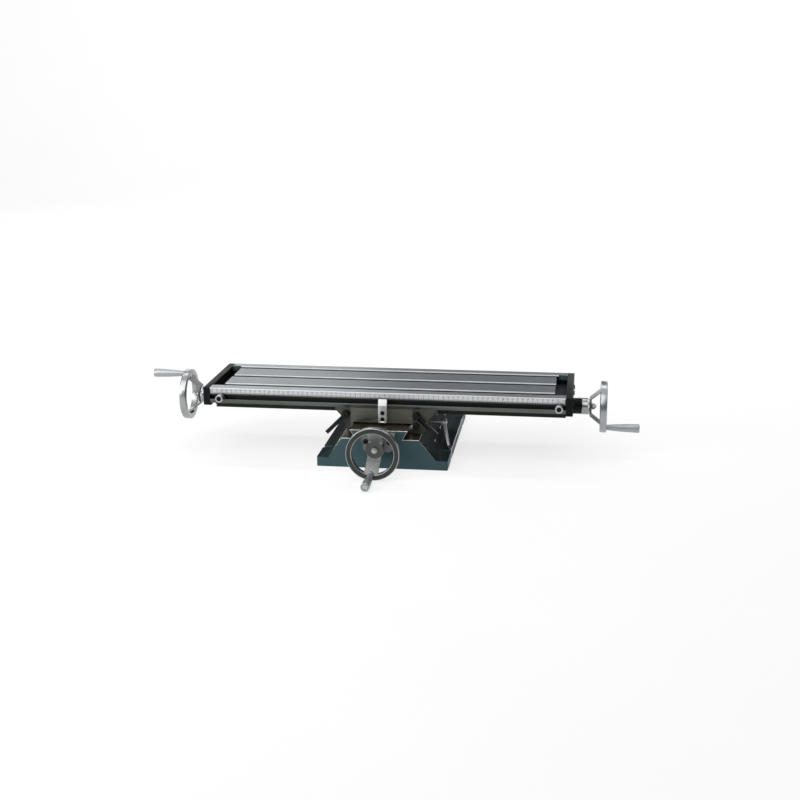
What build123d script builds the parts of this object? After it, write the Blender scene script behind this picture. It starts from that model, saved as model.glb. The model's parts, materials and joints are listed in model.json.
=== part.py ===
"""Cross slide table: a base, a saddle on its dovetail and a long T-slot table on the saddle.

Millimetres. X runs along the table, Y from front to rear, Z up. The origin is the centre of the
base's underside. The slides stand as in their rest pose, with the saddle forward of the middle.
"""
import os
from math import cos, radians, sin, tan

from build123d import *

os.makedirs("parts", exist_ok=True)

# Fits shared by the whole table
slide_clearance = 0.1
running_clearance = 0.08
seat_gap = 0.3
spigot_gap = 0.05
counterbore_gap = 0.5
screw_tip_gap = 1
dovetail_angle = 60

# How far cutting shapes run past a face, and how near two places count as the same
cut_over = 1
near = 0.01

# Base casting
base_width = 268
base_depth = 395
base_height = 61.5
flange_thickness = 19.5
body_foot_width = 220
cavity_foot_step = 4
cavity_roof_step = 3
way_left = 84
way_right = 76
side_relief = 5
base_side_wall = 13
base_end_wall = 14
base_roof = 12
base_dovetail_width = 118
base_dovetail_height = 18
slide_x = -6
trough_width = 46
trough_end = 24
web_thickness = 10
web_height = 34
web_pitch = 98
bolt_slot_width = 14
bolt_slot_inset = 12
bolt_slot_spacing = 250
base_corner_radius = 3

# Screws and what carries them
screw_diameter = 18
journal_diameter = 14
wheel_seat_diameter = 12
stub_diameter = 7
y_screw_height = 54.5
y_screw_reach = 150
x_screw_drop = 10.5
bracket_thickness = 14
boss_diameter = 33
boss_length = 18
bush_diameter = 20
collar_diameter = 26
collar_length = 8
spigot_length = 5
spigot_radius = 16.95
stub_reach = 3
key_inset = 1
oiler_radius = 3
oiler_seat = 3
oiler_stand = 1.2
oiler_inset = 5
edge_bevel = 0.8

# Front bracket
bracket_top = 77
bracket_foot = 39
bracket_top_width = 70
bracket_foot_width = 58
bracket_corner_radius = 8
front_screw_offset = 24
front_screw_height = 60

# Nuts of the screws
nut_seat_depth = 4
nut_seat_length = 38
x_nut_length = 36
x_nut_width = 30
x_nut_ear = 12
x_nut_ear_thickness = 8
x_nut_crown = 3.6
y_nut_width = 34
y_nut_length = 40
y_nut_flange_length = 92
y_nut_flange_thickness = 10
y_nut_foot = 39.5
y_nut_screw_offset = 38
nut_screw_spacing = 18
nut_screw_diameter = 5
nut_screw_head = 8.5
nut_screw_head_height = 5
nut_screw_length = 16

# Saddle
saddle_depth = 210
saddle_height = 51.5
saddle_rest_y = -47
saddle_centre_x = 1
saddle_top_width = 208
saddle_rim = 5
saddle_foot_inset = 26
saddle_leg_inset = 18
saddle_leg_height = 24
saddle_shoulder_inset = 11
saddle_shoulder_height = 34.5
saddle_floor_gap = 1
saddle_roof_gap = 3
wing_relief = 1
panel_left = -71
panel_right = 57
gib_thickness = 6
gib_length = 204
gib_screw_head = 13
gib_screw_head_length = 7
gib_screw_diameter = 6
gib_screw_length = 20
gib_screw_height = 78
gib_screw_x = 64.3
side_screw_head = 10
side_screw_head_length = 5
side_screw_offset = 70
side_screw_height = 103
side_screw_seat = 94
side_screw_length = 6

# Table
table_length = 732
table_width = 210
table_thickness = 33
table_dovetail_width = 124
table_dovetail_depth = 20
channel_width = 60
channel_roof = 6
slot_pitch = 73
slot_width = 16
slot_head_width = 28
slot_neck_depth = 10
slot_head_depth = 8
slot_bevel = 0.8
side_slot_centre = 19.5
side_slot_width = 10
side_slot_head_width = 16
side_slot_neck_depth = 5
side_slot_head_depth = 6
trough_length = 23
trough_side = 24
drain_diameter = 10
drain_inset = 15
lip_groove_drop = 29.5
lip_groove = 1
end_bracket_height = 39
end_boss_radius = 22
end_bracket_corner = 6
end_screw_offsets = (-83, -36, 36, 83)
end_screw_drop = 25.5
end_screw_diameter = 6
end_screw_head = 10
end_screw_sink = 4
end_screw_reach = 9

# Scale rule on the table's front edge
rule_inset = 2
rule_height = 9.8
rule_thickness = 1
rule_drop = 1.6
rivet_diameter = 3
rivet_grip = 3
rivet_head_rise = 0.5
rivet_head_taper = 30
rivet_count = 7
rivet_inset = 2.5

# Stops in the side slot
left_stop_inset = 23
right_stop_inset = 13
stop_diameter = 15.6
stop_length = 16
stop_screw_diameter = 6
stop_screw_head = 10
stop_head_length = 5
stop_nut_length = 18

# Pointer block on the saddle
pointer_width = 17.6
pointer_thickness = 9
pointer_foot = 83.5
pointer_height = 48.5
pointer_bevel_height = 12
pointer_bevel_depth = 3.5
pointer_relief = 1
pointer_screw_heights = (91.2, 104.4)
pointer_screw_sink = 5.5
pointer_screw_reach = 12

# Handwheels, dials and grips
wheel_radius = 53.5
rim_width = 11.5
rim_thickness = 13.6
rim_reach = 69
hub_diameter = 30
hub_thickness = 8.4
sleeve_diameter = 22
spoke_width = 28
spoke_thickness = 8
spoke_rim_rise = 2
spoke_inset = 4
spoke_foot_inset = 1
dial_diameter = 33
dial_length = 11
dial_bevel = 0.6
nut_flats = 11
nut_height = 6.5
key_width = 4
grip_radius = 9
grip_neck_radius = 5.6
grip_waist_radius = 7.6
grip_waist_rise = 26
grip_full_drop = 8
grip_corner = 1.5
grip_length = 68
grip_offset = 44.5
spindle_diameter = 7
spindle_head_diameter = 11
spindle_grip = 10
spindle_sink = 4.5
rim_corner = 1.5
grip_boss_radius = 8
front_grip_tilt = 5

# Locks
lock_screw_diameter = 10
lock_hub_diameter = 16
lock_hub_length = 9
lock_head_diameter = 13
lock_head_height = 5
lock_bar_width = 8
lock_bar_thickness = 7
lock_bar_setback = 1
lock_bar_length = 57
left_lock_angle = 225
right_lock_angle = 318
lock_height = 100
left_lock_x = -80
right_lock_x = 65.5
side_lock_offset = -43
side_lock_height = 71
side_lock_diameter = 8
side_hub_diameter = 14
side_hub_length = 11
side_hub_x = 109
side_arm_end = (129.5, -127, 26.5)
side_arm_radius = 4.5
side_arm_tip_radius = 2.8
side_pin_radius = 2
side_knob_radius = 5
side_knob_seat = 0.5
side_screw_stand = 1
pad_length = 5
pad_radius = 4.5
side_pad_radius = 3.5

# Places worked out from the sizes above
flank = tan(radians(dovetail_angle))
flank_gap = slide_clearance / sin(radians(dovetail_angle))
gib_width = gib_thickness / sin(radians(dovetail_angle))
base_dovetail_top = base_height + base_dovetail_height
saddle_bottom = base_height + slide_clearance
saddle_roof = base_dovetail_top + saddle_roof_gap
saddle_top = base_height + saddle_height
saddle_front = saddle_rest_y - saddle_depth / 2
table_bottom = saddle_top + slide_clearance
table_top = table_bottom + table_thickness
table_front = saddle_rest_y - table_width / 2
table_foot = table_bottom - table_dovetail_depth
saddle_floor = table_foot - saddle_floor_gap
channel_top = table_bottom + channel_roof
x_screw_height = table_bottom - x_screw_drop
slot_depth = slot_neck_depth + slot_head_depth
screw_radius = screw_diameter / 2
journal_radius = journal_diameter / 2
side_lock_y = saddle_rest_y + side_lock_offset
left_stop_x = left_stop_inset - table_length / 2
right_stop_x = table_length / 2 - right_stop_inset
drain_x = table_length / 2 - drain_inset


def base_half_width(height):
    """Half the width of the base's dovetail at a height."""
    return base_dovetail_width / 2 - (base_dovetail_top - height) / flank


def table_half_width(height):
    """Half the width of the table's dovetail at a height."""
    return table_dovetail_width / 2 - (height - table_foot) / flank


def finish(piece, name):
    """Label a finished piece and write it."""
    piece.part.label = name
    export_step(piece.part, f"parts/{name}.step")


def tee_outline(across):
    """End view of a T-slot in the table's top; across is its centre line."""
    right = [
        (slot_width / 2 + slot_bevel, cut_over),
        (slot_width / 2 + slot_bevel, 0),
        (slot_width / 2, -slot_bevel),
        (slot_width / 2, -slot_neck_depth),
        (slot_head_width / 2, -slot_neck_depth),
        (slot_head_width / 2, -slot_depth),
    ]
    left = [(-x, z) for x, z in reversed(right)]
    return [(across + x, table_top + z) for x, z in right + left]


# Base: the end profile is run from front to rear, then hollowed from below

def base_outline():
    """Front view of the base with its ways and dovetail."""
    root = base_half_width(base_height)
    top = base_dovetail_width / 2
    return [
        (-base_width / 2, 0),
        (base_width / 2, 0),
        (base_width / 2, flange_thickness),
        (body_foot_width / 2, flange_thickness),
        (way_right, base_height),
        (slide_x + root, base_height),
        (slide_x + top, base_dovetail_top),
        (slide_x - top, base_dovetail_top),
        (slide_x - root, base_height),
        (-way_left, base_height),
        (-body_foot_width / 2, flange_thickness),
        (-base_width / 2, flange_thickness),
    ]


with BuildPart() as base:
    with BuildSketch(Plane.XZ):
        with BuildLine():
            Polyline(base_outline(), close=True)
        make_face()
    extrude(amount=base_depth / 2, both=True)
    # Between the end walls the sloping sides are set in at their foot
    with BuildSketch(Plane.XZ):
        for side, way in ((-1, way_left), (1, way_right)):
            foot = side * body_foot_width / 2
            with BuildLine():
                Polyline(
                    (side * way, base_height),
                    (foot, flange_thickness),
                    (foot - side * side_relief, flange_thickness),
                    close=True,
                )
            make_face()
    extrude(amount=base_depth / 2 - base_end_wall, both=True, mode=Mode.SUBTRACT)
    # Hollow underside
    with BuildSketch(Plane.XZ):
        roof = base_height - base_roof
        foot = body_foot_width / 2 - base_side_wall
        with BuildLine():
            Polyline(
                (-foot, -cut_over),
                (foot, -cut_over),
                (foot, flange_thickness - cavity_foot_step),
                (way_right - base_side_wall + cavity_roof_step, roof),
                (-way_left + base_side_wall - cavity_roof_step, roof),
                (-foot, flange_thickness - cavity_foot_step),
                close=True,
            )
        make_face()
    extrude(amount=base_depth / 2 - base_end_wall, both=True, mode=Mode.SUBTRACT)
    # Cross webs under the screw
    with BuildSketch(Plane.XY):
        with GridLocations(0, web_pitch, 1, 3):
            Rectangle(body_foot_width - 2 * base_side_wall + 2 * cut_over, web_thickness)
    extrude(amount=web_height)
    # Trough for the cross screw and its nut
    with BuildSketch(Plane.XY.offset(base_dovetail_top)):
        with Locations((slide_x, 0)):
            Rectangle(trough_width, base_depth - 2 * trough_end)
    extrude(amount=-(base_dovetail_top - web_height), mode=Mode.SUBTRACT)
    # Seat of the screw's bracket through the front wall
    with BuildSketch(Plane.XZ.offset(base_depth / 2)):
        with Locations((slide_x, y_screw_height)):
            Circle(spigot_radius + spigot_gap)
    extrude(amount=-trough_end - cut_over, mode=Mode.SUBTRACT)
    with Locations(*[Plane((slide_x + x, -base_depth / 2, front_screw_height), z_dir=(0, -1, 0))
                     for x in (-front_screw_offset, front_screw_offset)]):
        Hole(end_screw_diameter / 2, depth=end_screw_reach)
    # Bolt-down slots, open at the flange's edge
    with BuildSketch(Plane.XY):
        for side in (-1, 1):
            centre = side * (base_width / 2 - bolt_slot_inset)
            with GridLocations(0, bolt_slot_spacing, 1, 2):
                with Locations((centre, 0)):
                    Circle(bolt_slot_width / 2)
                with Locations((centre + side * bolt_slot_inset, 0)):
                    Rectangle(2 * bolt_slot_inset, bolt_slot_width)
    extrude(amount=flange_thickness, mode=Mode.SUBTRACT)
    corners = base.edges().filter_by(Axis.Z).sort_by(Axis.X)
    outer = [edge for edge in corners if abs(abs(edge.center().X) - base_width / 2) < near
             and abs(abs(edge.center().Y) - base_depth / 2) < near]
    fillet(outer, radius=base_corner_radius)
finish(base, "base")


# Saddle

def saddle_outline():
    """Front view of the saddle, with the female dovetail and room for its gib on the right."""
    half = saddle_top_width / 2
    sides = [
        (half - saddle_foot_inset, saddle_bottom),
        (half - saddle_leg_inset, saddle_bottom + saddle_leg_height),
        (half - saddle_shoulder_inset, saddle_bottom + saddle_shoulder_height),
        (half, saddle_top - saddle_rim),
        (half, saddle_top),
    ]
    right = [(saddle_centre_x + x, z) for x, z in sides]
    left = [(saddle_centre_x - x, z) for x, z in reversed(sides)]
    root = base_half_width(saddle_bottom)
    crown = base_half_width(saddle_roof)
    opening = [
        (slide_x - root - flank_gap, saddle_bottom),
        (slide_x - crown - flank_gap, saddle_roof),
        (slide_x + crown + 2 * flank_gap + gib_width, saddle_roof),
        (slide_x + root + 2 * flank_gap + gib_width, saddle_bottom),
    ]
    return right + left + opening


def table_way_outline():
    """End view of the female dovetail in the saddle's top, with room for its gib in front."""
    above = saddle_top + cut_over
    wide = table_half_width(saddle_floor)
    narrow = table_half_width(above)
    return [
        (saddle_rest_y + wide + flank_gap, saddle_floor),
        (saddle_rest_y + narrow + flank_gap, above),
        (saddle_rest_y - narrow - 2 * flank_gap - gib_width, above),
        (saddle_rest_y - wide - 2 * flank_gap - gib_width, saddle_floor),
    ]


saddle_mid = Plane((0, saddle_rest_y, 0), x_dir=(1, 0, 0), z_dir=(0, -1, 0))

gib_screw_seats = [Plane((gib_screw_x, saddle_rest_y + side * (saddle_depth / 2 - wing_relief), gib_screw_height),
                         z_dir=(0, side, 0)) for side in (-1, 1)]
side_screw_sink = saddle_centre_x + saddle_top_width / 2 - side_screw_seat
side_screw_mouths = [Plane((saddle_centre_x + side * saddle_top_width / 2, saddle_rest_y - side_screw_offset,
                            side_screw_height), z_dir=(side, 0, 0)) for side in (-1, 1)]

with BuildPart() as saddle:
    with BuildSketch(saddle_mid):
        with BuildLine():
            Polyline(saddle_outline(), close=True)
        make_face()
    extrude(amount=saddle_depth / 2, both=True)
    with BuildSketch(Plane.YZ):
        with BuildLine():
            Polyline(table_way_outline(), close=True)
        make_face()
    extrude(amount=saddle_top_width, both=True, mode=Mode.SUBTRACT)
    # Only the middle of the front and rear faces is machined: the wings stand back
    with BuildSketch(saddle_mid.offset(saddle_depth / 2), saddle_mid.offset(-saddle_depth / 2)):
        with BuildLine():
            Polyline((panel_right, 0), (panel_right + saddle_top_width, 0),
                     (panel_right + saddle_top_width, table_top), (panel_right, table_top), close=True)
        make_face()
        with BuildLine():
            Polyline((panel_left, 0), (panel_left - saddle_top_width, 0),
                     (panel_left - saddle_top_width, table_top), (panel_left, table_top), close=True)
        make_face()
    extrude(amount=wing_relief, both=True, mode=Mode.SUBTRACT)
    # Seat of the table screw's nut and the holes of both nuts' screws
    with BuildSketch(Plane.XY.offset(saddle_floor)):
        with Locations((saddle_centre_x, saddle_rest_y)):
            Rectangle(nut_seat_length, x_nut_width + 2 * counterbore_gap)
    extrude(amount=-nut_seat_depth, mode=Mode.SUBTRACT)
    with Locations(Plane((saddle_centre_x, saddle_rest_y, saddle_floor))):
        with GridLocations(nut_screw_spacing, x_nut_width + x_nut_ear, 2, 2):
            Hole(nut_screw_diameter / 2)
    with Locations(Plane((slide_x, saddle_rest_y, saddle_floor))):
        with GridLocations(nut_screw_spacing, 2 * y_nut_screw_offset, 2, 2):
            CounterBoreHole(nut_screw_diameter / 2, nut_screw_head / 2 + seat_gap,
                            nut_screw_head_height + counterbore_gap)
    # Lock screws through the front wall and the right leg
    with Locations(Plane((left_lock_x, saddle_front, lock_height), z_dir=(0, -1, 0)),
                   Plane((right_lock_x, saddle_front, lock_height), z_dir=(0, -1, 0))):
        Hole(lock_screw_diameter / 2 + running_clearance, depth=saddle_depth / 4)
    side_lock_depth = side_hub_x - slide_x - base_half_width(side_lock_height)
    with Locations(Plane((side_hub_x, side_lock_y, side_lock_height), z_dir=(1, 0, 0))):
        Hole(side_lock_diameter / 2 + running_clearance, depth=side_lock_depth)
    # Screws of the gibs and of the pointer block
    with Locations(*gib_screw_seats):
        Hole(gib_screw_diameter / 2, depth=gib_screw_length)
    with Locations(*side_screw_mouths):
        CounterBoreHole(gib_screw_diameter / 2, side_screw_head / 2 + seat_gap, side_screw_sink,
                        depth=side_screw_sink + side_screw_length)
    with Locations(*[Plane((slide_x, saddle_front, z), z_dir=(0, -1, 0)) for z in pointer_screw_heights]):
        Hole(nut_screw_diameter / 2, depth=pointer_screw_reach)
finish(saddle, "saddle")


# Gibs: strips of the dovetails' slope between the sliding flanks

with BuildPart() as saddle_gib:
    with BuildSketch(saddle_mid):
        with BuildLine():
            low, high = saddle_bottom + seat_gap, base_dovetail_top
            inner = [(slide_x + base_half_width(z) + flank_gap, z) for z in (low, high)]
            outer = [(x + gib_width, z) for x, z in reversed(inner)]
            Polyline(inner + outer, close=True)
        make_face()
    extrude(amount=gib_length / 2, both=True)
finish(saddle_gib, "saddle_gib")

with BuildPart() as table_gib:
    with BuildSketch(Plane.YZ.offset(saddle_centre_x)):
        with BuildLine():
            low, high = saddle_floor + seat_gap, saddle_top - seat_gap
            inner = [(saddle_rest_y - table_half_width(z) - flank_gap, z) for z in (low, high)]
            outer = [(y - gib_width, z) for y, z in reversed(inner)]
            Polyline(inner + outer, close=True)
        make_face()
    extrude(amount=gib_length / 2, both=True)
finish(table_gib, "table_gib")


# Table: one section run along X, then its end troughs

def table_outline():
    """End view of the table's outside with the dovetail and the screw's channel below."""
    half = table_width / 2
    root = table_half_width(table_bottom)
    wide = table_dovetail_width / 2
    lip = table_top - lip_groove_drop
    section = [
        (-half, table_top),
        (-half, lip),
        (-half + lip_groove, lip - lip_groove),
        (-half + lip_groove, table_bottom),
        (-root, table_bottom),
        (-wide, table_foot),
        (-channel_width / 2, table_foot),
        (-channel_width / 2, channel_top),
        (channel_width / 2, channel_top),
        (channel_width / 2, table_foot),
        (wide, table_foot),
        (root, table_bottom),
        (half - lip_groove, table_bottom),
        (half - lip_groove, lip - lip_groove),
        (half, lip),
        (half, table_top),
    ]
    return [(saddle_rest_y + y, z) for y, z in section]


def side_slot_outline():
    """End view of the T-slot in the table's front edge."""
    middle = table_top - side_slot_centre
    neck = table_front + side_slot_neck_depth
    back = neck + side_slot_head_depth
    lower = [
        (table_front - cut_over, middle - side_slot_width / 2),
        (neck, middle - side_slot_width / 2),
        (neck, middle - side_slot_head_width / 2),
        (back, middle - side_slot_head_width / 2),
    ]
    upper = [(y, 2 * middle - z) for y, z in reversed(lower)]
    return lower + upper


rule_length = table_length - 2 * rule_inset
rivet_pitch = (rule_length - 2 * rivet_inset) / (rivet_count - 1)
rivet_places = [(index - (rivet_count - 1) / 2) * rivet_pitch for index in range(rivet_count)]
rivet_height = table_top - rule_drop - rule_height / 2
rivet_radius = rivet_diameter / 2
trough_x = table_length / 2 - trough_length / 2

with BuildPart() as table:
    with BuildSketch(Plane.YZ):
        with BuildLine():
            Polyline(table_outline(), close=True)
        make_face()
    extrude(amount=table_length / 2, both=True)
    with BuildSketch(Plane.YZ):
        for row in (-1, 0, 1):
            with BuildLine():
                Polyline(tee_outline(saddle_rest_y + row * slot_pitch), close=True)
            make_face()
        with BuildLine():
            Polyline(side_slot_outline(), close=True)
        make_face()
    extrude(amount=table_length / 2, both=True, mode=Mode.SUBTRACT)
    # Coolant troughs across both ends, with a drain at the rear
    with BuildSketch(Plane.XY.offset(table_top)):
        with Locations((-trough_x, saddle_rest_y), (trough_x, saddle_rest_y)):
            Rectangle(trough_length, table_width - 2 * trough_side)
    extrude(amount=-slot_depth, mode=Mode.SUBTRACT)
    drain_y = saddle_rest_y + table_width / 2 - trough_side - drain_diameter / 4
    with Locations((-drain_x, drain_y, table_top), (drain_x, drain_y, table_top)):
        Hole(drain_diameter / 2)
    # Blind holes for the rule's rivets and the end brackets' screws
    with Locations(*[Plane((x, table_front, rivet_height), z_dir=(0, -1, 0)) for x in rivet_places]):
        Hole(rivet_radius, depth=rivet_grip)
    for side in (-1, 1):
        with Locations(*[Plane((side * table_length / 2, saddle_rest_y + y, table_top - end_screw_drop),
                               z_dir=(side, 0, 0)) for y in end_screw_offsets]):
            Hole(end_screw_diameter / 2, depth=end_screw_reach)
finish(table, "table")


# Rule with its rivets

with BuildPart() as scale_rule:
    with BuildSketch(Plane((0, table_front, rivet_height), x_dir=(1, 0, 0), z_dir=(0, -1, 0))):
        Rectangle(rule_length, rule_height)
        with Locations(*[(x, 0) for x in rivet_places]):
            Circle(rivet_radius, mode=Mode.SUBTRACT)
    extrude(amount=rule_thickness)
finish(scale_rule, "scale_rule")

with BuildPart() as rule_rivets:
    with BuildSketch(*[Plane((x, table_front + rivet_grip, rivet_height), z_dir=(0, -1, 0)) for x in rivet_places]):
        Circle(rivet_radius)
    extrude(amount=rivet_grip + rule_thickness)
    with BuildSketch(*[Plane((x, table_front - rule_thickness, rivet_height), z_dir=(0, -1, 0))
                       for x in rivet_places]):
        Circle(rivet_radius + rivet_head_rise)
    extrude(amount=rivet_head_rise, taper=rivet_head_taper)
finish(rule_rivets, "rule_rivets")


# Shaft ends: each seat lies on a bracket's outer face, facing outwards, with its x towards the grip

end_x = table_length / 2 + bracket_thickness
front_y = -base_depth / 2 - bracket_thickness
front_tilt = radians(front_grip_tilt)
left_seat = Plane((-end_x, saddle_rest_y, x_screw_height), x_dir=(0, 0, 1), z_dir=(-1, 0, 0))
right_seat = Plane((end_x, saddle_rest_y, x_screw_height), x_dir=(0, 0, -1), z_dir=(1, 0, 0))
front_seat = Plane(
    (slide_x, front_y, y_screw_height),
    x_dir=(-sin(front_tilt), 0, -cos(front_tilt)),
    z_dir=(0, -1, 0),
)
end_seats = (left_seat, right_seat)

dial_start = boss_length + seat_gap
hub_start = dial_start + dial_length + seat_gap
hub_end = hub_start + hub_thickness
shaft_end = hub_end + nut_height + stub_reach
grip_start = rim_reach + seat_gap
grip_end = grip_start + grip_length
key_start = hub_start + key_inset
key_length = hub_thickness - 2 * key_inset


def radial_plane(seat, offset=0):
    """Plane through a shaft: its x is the distance from the line, its y runs outwards along it."""
    return Plane(seat.origin + seat.x_dir * offset, x_dir=seat.x_dir, z_dir=-seat.y_dir)


def shaft_outline(start, inner_face):
    """Half section of a screw's end, from the plain screw to the stub for its nut."""
    shoulder = inner_face - collar_length - 2 * seat_gap
    return [
        (0, start),
        (screw_radius, start),
        (screw_radius, shoulder),
        (journal_radius, shoulder),
        (journal_radius, boss_length),
        (wheel_seat_diameter / 2, boss_length),
        (wheel_seat_diameter / 2, hub_end - seat_gap),
        (stub_diameter / 2, hub_end - seat_gap),
        (stub_diameter / 2, shaft_end),
        (0, shaft_end),
    ]


def key_face(seat):
    """End view of a key, half in the shaft and half in the hub, square to the grip's side."""
    with BuildSketch(seat.offset(key_start)) as face:
        with Locations((0, wheel_seat_diameter / 2)):
            Rectangle(key_width, key_width)
    return face.sketch


def end_bracket(side, seat, name):
    """Plate across the table's end with the boss of the screw's bearing."""
    foot = table_top - end_bracket_height
    with BuildPart() as bracket:
        with BuildSketch(Plane.YZ.offset(side * table_length / 2)):
            with Locations((saddle_rest_y, (table_top + foot) / 2)):
                Rectangle(table_width, end_bracket_height)
            with Locations((saddle_rest_y, x_screw_height)):
                Circle(end_boss_radius)
        extrude(amount=side * bracket_thickness)
        corners = [edge for edge in bracket.edges().filter_by(Axis.X) if abs(edge.center().Z - foot) < near]
        fillet(corners, radius=end_bracket_corner)
        with BuildSketch(seat):
            Circle(boss_diameter / 2)
        extrude(amount=boss_length)
        chamfer(bracket.faces().sort_by(Axis.X)[-1 if side > 0 else 0].edges(), length=edge_bevel)
        with Locations(seat):
            Hole(bush_diameter / 2)
        with Locations(*[Plane((side * end_x, saddle_rest_y + y, table_top - end_screw_drop), z_dir=(side, 0, 0))
                         for y in end_screw_offsets]):
            CounterBoreHole(end_screw_diameter / 2, end_screw_head / 2 + seat_gap, end_screw_sink)
        with Locations(oiler_plane(seat)):
            Hole(oiler_radius, depth=oiler_seat)
    finish(bracket, name)
    return bracket


def oiler_plane(seat):
    """Top of a boss, where its ball oiler sits."""
    along = seat.z_dir * (boss_length - oiler_inset)
    return Plane(seat.origin + along + Vector(0, 0, boss_diameter / 2), z_dir=(0, 0, 1))


def add_oiler(seat):
    """Ball oiler pressed into a boss."""
    place = oiler_plane(seat)
    with BuildSketch(place.offset(-oiler_seat)) as outline:
        Circle(oiler_radius)
    extrude(outline.sketch, amount=oiler_seat + oiler_stand)
    with Locations(place.offset(oiler_stand)):
        Sphere(oiler_radius / 2)


left_end_bracket = end_bracket(-1, left_seat, "left_end_bracket")
right_end_bracket = end_bracket(1, right_seat, "right_end_bracket")

with BuildPart() as end_bracket_screws:
    for side in (-1, 1):
        heads = [Plane((side * (end_x - end_screw_sink), saddle_rest_y + y, table_top - end_screw_drop),
                       z_dir=(side, 0, 0)) for y in end_screw_offsets]
        with BuildSketch(*heads):
            Circle(end_screw_head / 2)
        extrude(amount=end_screw_diameter)
        with BuildSketch(*heads):
            Circle(end_screw_diameter / 2)
        extrude(amount=-(bracket_thickness - end_screw_sink + end_screw_reach - screw_tip_gap))
finish(end_bracket_screws, "end_bracket_screws")

with BuildPart() as end_bushes:
    with BuildSketch(*[seat.offset(-bracket_thickness) for seat in end_seats]):
        Circle(bush_diameter / 2)
        Circle(journal_radius + running_clearance, mode=Mode.SUBTRACT)
    extrude(amount=bracket_thickness + boss_length)
finish(end_bushes, "end_bushes")

with BuildPart() as end_oilers:
    for seat in end_seats:
        add_oiler(seat)
finish(end_oilers, "end_oilers")


# Front bracket on the base

front_wall = Plane((slide_x, -base_depth / 2, 0), x_dir=(1, 0, 0), z_dir=(0, -1, 0))
front_face = front_wall.offset(bracket_thickness)
front_screws = [Plane((slide_x + x, front_y, front_screw_height), z_dir=(0, -1, 0))
                for x in (-front_screw_offset, front_screw_offset)]

with BuildPart() as front_bracket:
    with BuildSketch(front_wall):
        with BuildLine():
            Polyline(
                (-bracket_top_width / 2, bracket_top),
                (-bracket_foot_width / 2, bracket_foot),
                (bracket_foot_width / 2, bracket_foot),
                (bracket_top_width / 2, bracket_top),
                close=True,
            )
        make_face()
    extrude(amount=bracket_thickness)
    fillet(front_bracket.edges().filter_by(Axis.Y).group_by(Axis.Z)[0], radius=bracket_corner_radius)
    with BuildSketch(front_seat):
        Circle(boss_diameter / 2)
    extrude(amount=boss_length)
    chamfer(front_bracket.faces().sort_by(Axis.Y)[0].edges(), length=edge_bevel)
    with BuildSketch(front_seat.offset(-bracket_thickness - spigot_length)):
        Circle(spigot_radius)
    extrude(amount=spigot_length)
    with Locations(front_seat):
        Hole(bush_diameter / 2)
    with Locations(*front_screws):
        CounterBoreHole(end_screw_diameter / 2, end_screw_head / 2 + seat_gap, end_screw_sink)
    with Locations(oiler_plane(front_seat)):
        Hole(oiler_radius, depth=oiler_seat)
finish(front_bracket, "front_bracket")

with BuildPart() as front_bracket_screws:
    with BuildSketch(*[place.offset(-end_screw_sink) for place in front_screws]):
        Circle(end_screw_head / 2)
    extrude(amount=end_screw_diameter)
    with BuildSketch(*[place.offset(-end_screw_sink) for place in front_screws]):
        Circle(end_screw_diameter / 2)
    extrude(amount=-(bracket_thickness - end_screw_sink + end_screw_reach - screw_tip_gap))
finish(front_bracket_screws, "front_bracket_screws")

with BuildPart() as front_bush:
    with BuildSketch(front_seat.offset(-bracket_thickness - spigot_length)):
        Circle(bush_diameter / 2)
        Circle(journal_radius + running_clearance, mode=Mode.SUBTRACT)
    extrude(amount=bracket_thickness + spigot_length + boss_length)
finish(front_bush, "front_bush")

with BuildPart() as front_oiler:
    add_oiler(front_seat)
finish(front_oiler, "front_oiler")


# Leadscrews with their collars and keys

with BuildPart() as x_leadscrew:
    for seat in end_seats:
        with BuildSketch(radial_plane(seat)):
            with BuildLine():
                Polyline(shaft_outline(-end_x, -bracket_thickness), close=True)
            make_face()
        revolve(axis=Axis(seat.origin, seat.z_dir))
    for seat in end_seats:
        extrude(key_face(seat), amount=key_length, mode=Mode.SUBTRACT)
finish(x_leadscrew, "x_leadscrew")

with BuildPart() as y_leadscrew:
    with BuildSketch(radial_plane(front_seat)):
        with BuildLine():
            Polyline(shaft_outline(front_y - y_screw_reach, -bracket_thickness - spigot_length), close=True)
        make_face()
    revolve(axis=Axis(front_seat.origin, front_seat.z_dir))
    extrude(key_face(front_seat), amount=key_length, mode=Mode.SUBTRACT)
finish(y_leadscrew, "y_leadscrew")


def add_collar(seat, inner_face):
    """Thrust collar pinned to the screw behind its bracket."""
    with BuildSketch(seat.offset(inner_face - seat_gap)) as ring:
        Circle(collar_diameter / 2)
        Circle(journal_radius, mode=Mode.SUBTRACT)
    extrude(ring.sketch, amount=-collar_length)


with BuildPart() as x_thrust_collars:
    for seat in end_seats:
        add_collar(seat, -bracket_thickness)
finish(x_thrust_collars, "x_thrust_collars")

with BuildPart() as y_thrust_collar:
    add_collar(front_seat, -bracket_thickness - spigot_length)
finish(y_thrust_collar, "y_thrust_collar")

with BuildPart() as x_wheel_keys:
    for seat in end_seats:
        extrude(key_face(seat), amount=key_length)
finish(x_wheel_keys, "x_wheel_keys")

with BuildPart() as y_wheel_key:
    extrude(key_face(front_seat), amount=key_length)
finish(y_wheel_key, "y_wheel_key")


# Handwheels: a dished web cut to two spokes, with the rim, the hub and the grip's boss

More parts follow.
